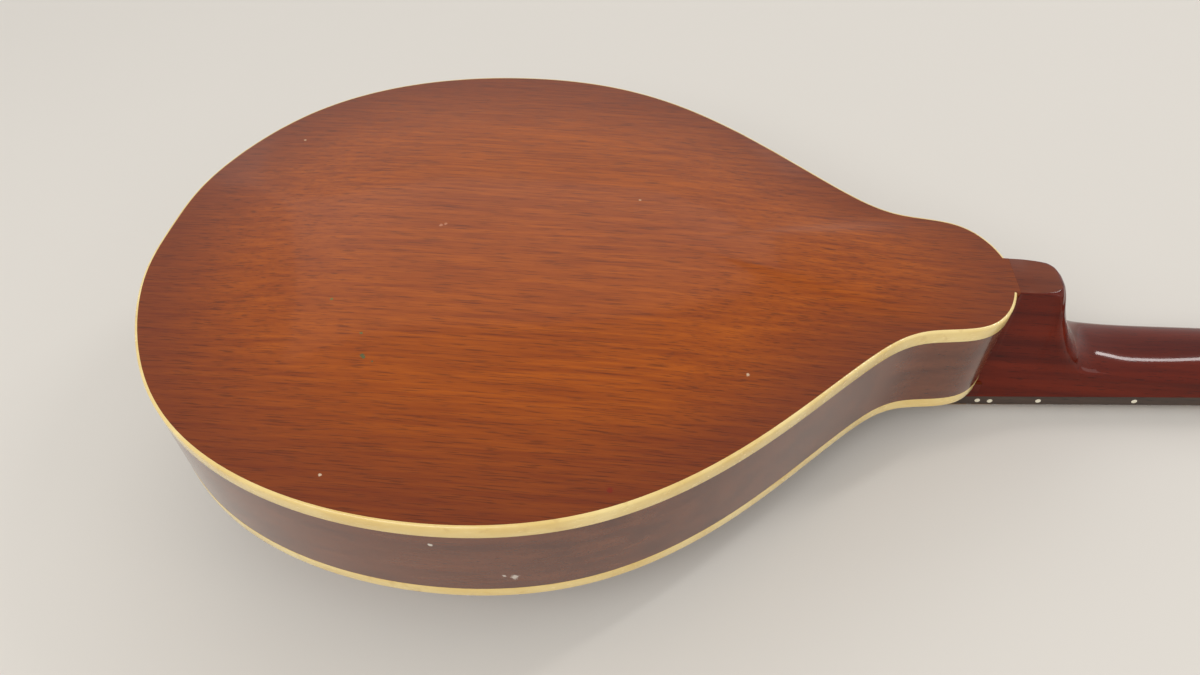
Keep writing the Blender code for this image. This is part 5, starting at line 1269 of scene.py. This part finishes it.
def lidChain(e, wall):
    # section of the lid across its width: up one side, over its face and down the other side
    shoulder, soft = lid["shoulder"], lid["side"]
    share = max(0.0, e - shoulder) / (lid["length"] - shoulder)
    face = between(lid["face"], lid["frontFace"], share) - roundIn(shoulder, e) - wall
    half = lid["half"] - roundIn(lid["corner"], e) - wall
    face -= lid["groove"] * sum(math.exp(-((e - at) / lid["grooveWide"]) ** 2) for at in lid["grooves"])
    x = lid["from"] + e + wall * (1 - e / lid["length"])
    chain = [(x, half, -lid["back"]), (x, half, -lid["back"] - 1.5)]
    for a in np.linspace(0, math.pi / 2, 7):
        chain.append((x, half - soft + soft * math.cos(a), soft - face - soft * math.sin(a)))
    return mirrored(chain)


def makeLid():
    # a pressed lid, open behind and where the strings come out, with two pairs of pressed lines
    stations = [0.0, 0.1, 0.4, 1.0, 1.8, 2.9, 4.0, 6.0, 25.0, 34.0, lid["length"]]
    stations += [at + past for at in lid["grooves"] for past in (-0.9, -0.5, -0.2, 0.2, 0.5, 0.9)]
    bm = bmesh.new()
    for wall in (0.0, lid["wall"]):
        rings = [lidChain(e, wall) for e in sorted(stations)]
        chain = first = [bm.verts.new(point) for point in rings[0]]
        for ring in rings[1:]:
            chain = extrudeTo(bm, chain, ring, False)
        bm.faces.new(first)
    bmesh.ops.bridge_loops(bm, edges=[e for e in bm.edges if e.is_boundary])
    addPiece("tailpieceLid", bm, bodyFrame, "nickel", "nickel", ("tailpiece_cover",), 40, "tailpiece_cover")


def makeTail():
    pin = {
        "depth": 22.6, "head": -1.8, "profile": (
            (3.0, -7.0), (5.0, -6.75), (6.1, -6.1), (6.5, -5.2), (6.3, -4.4), (5.2, -3.6), (4.2, -2.8),
            (4.1, -1.8), (4.6, -0.6), (5.2, -0.05), (5.2, 0.0), (2.5, 0.0), (2.5, 13.8)),
        "dot": ((1.6, -7.12), (1.6, -6.6)),
    }
    softCopy("tailpiece", "tailpiecePlate", "nickel", "nickel", 0.00012, 50)
    makeLid()
    at = (pin["head"], 0, -pin["depth"])
    turnedPiece("endPin", pin["profile"], "X", at, 36, bodyFrame, "black", "black_plastic", ("end_pin",), 40)
    turnedPiece("endPinDot", pin["dot"], "X", at, 24, bodyFrame, "pearl", "bone")
    turn = Matrix.Rotation(-math.pi / 2, 4, "Y")
    for number, (y, depth) in enumerate(((-11.0, 15.5), (11.0, 15.5), (0.0, 34.5)), 1):
        facing = bodyFrame @ Matrix.Translation((-1.5, y, -depth)) @ turn
        screwHead("tailScrew" + str(number), facing, (0, 0, 0), 1, 2.0)


# Pickguard and the small pieces inside
guard = {
    "wall": 2.0, "reach": 55.4, "screw": (-33.6, 49.0), "screwSize": 1.7, "under": 1.1, "gap": 0.4,
    "tipWide": 8.0, "edge": 0.4, "steps": 60,
    "curve": ((-72.0, 20.0), (-73.6, 29.0), (-70.6, 47.0), (-61.6, 56.0), (-43.6, 60.0), (-15.6, 58.0),
              (16.4, 46.0), (52.0, 28.5)),
}


def makeGuard():
    z = guard["under"] - overDepth(boardEnd)
    tip = boardEnd + guard["reach"]
    steps = range(len(guard["curve"]))
    ring = [(x, boardHalf(x) + guard["gap"]) for x in (tip, boardEnd)]
    for t in np.linspace(0, steps[-1], guard["steps"]):
        x, y = (smoothThrough(steps, column, t) for column in zip(*guard["curve"]))
        ring.append((boardEnd + x, y))
    ring.append((tip, boardHalf(tip) + guard["tipWide"]))
    bm = bmesh.new()
    slabOn(bm, [(x, y, z) for x, y in ring], guard["wall"])
    roundEdges(bm, guard["edge"], 3, 45)
    addPiece("pickguardPlate", bm, bodyFrame, "shell", "tortoise_plastic", ("pickguard",), 40)
    at = (boardEnd + guard["screw"][0], guard["screw"][1], z)
    screwHead("guardScrew", bodyFrame, at, -1, guard["screwSize"])
    softCopy("pickguard_bracket", "guardBracket", "nickel", "nickel", 0.0002, 25)


def finishInside():
    softCopy("truss_rod_nut", "rodNut", "brass", "brass", rider="truss_rod_nut")
    carried = {"truss_rod": "steel", "neck_block": "inner", "tail_block": "inner"}
    for word in ("bass", "treble"):
        carried["tone_bar_" + word] = "inner"
        carried["back_lining_" + word] = "lining"
        carried["top_lining_" + word] = "lining"
    for name, look in carried.items():
        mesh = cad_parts[name].data
        mesh.materials.clear()
        mesh.materials.append(looks[look])


makeTuners()
print("tuning machines ready")
makeStrings()
makeBridge()
makeTail()
makeGuard()
finishInside()
print("strings, bridge, tailpiece and pickguard ready")

bpy.context.view_layer.update()
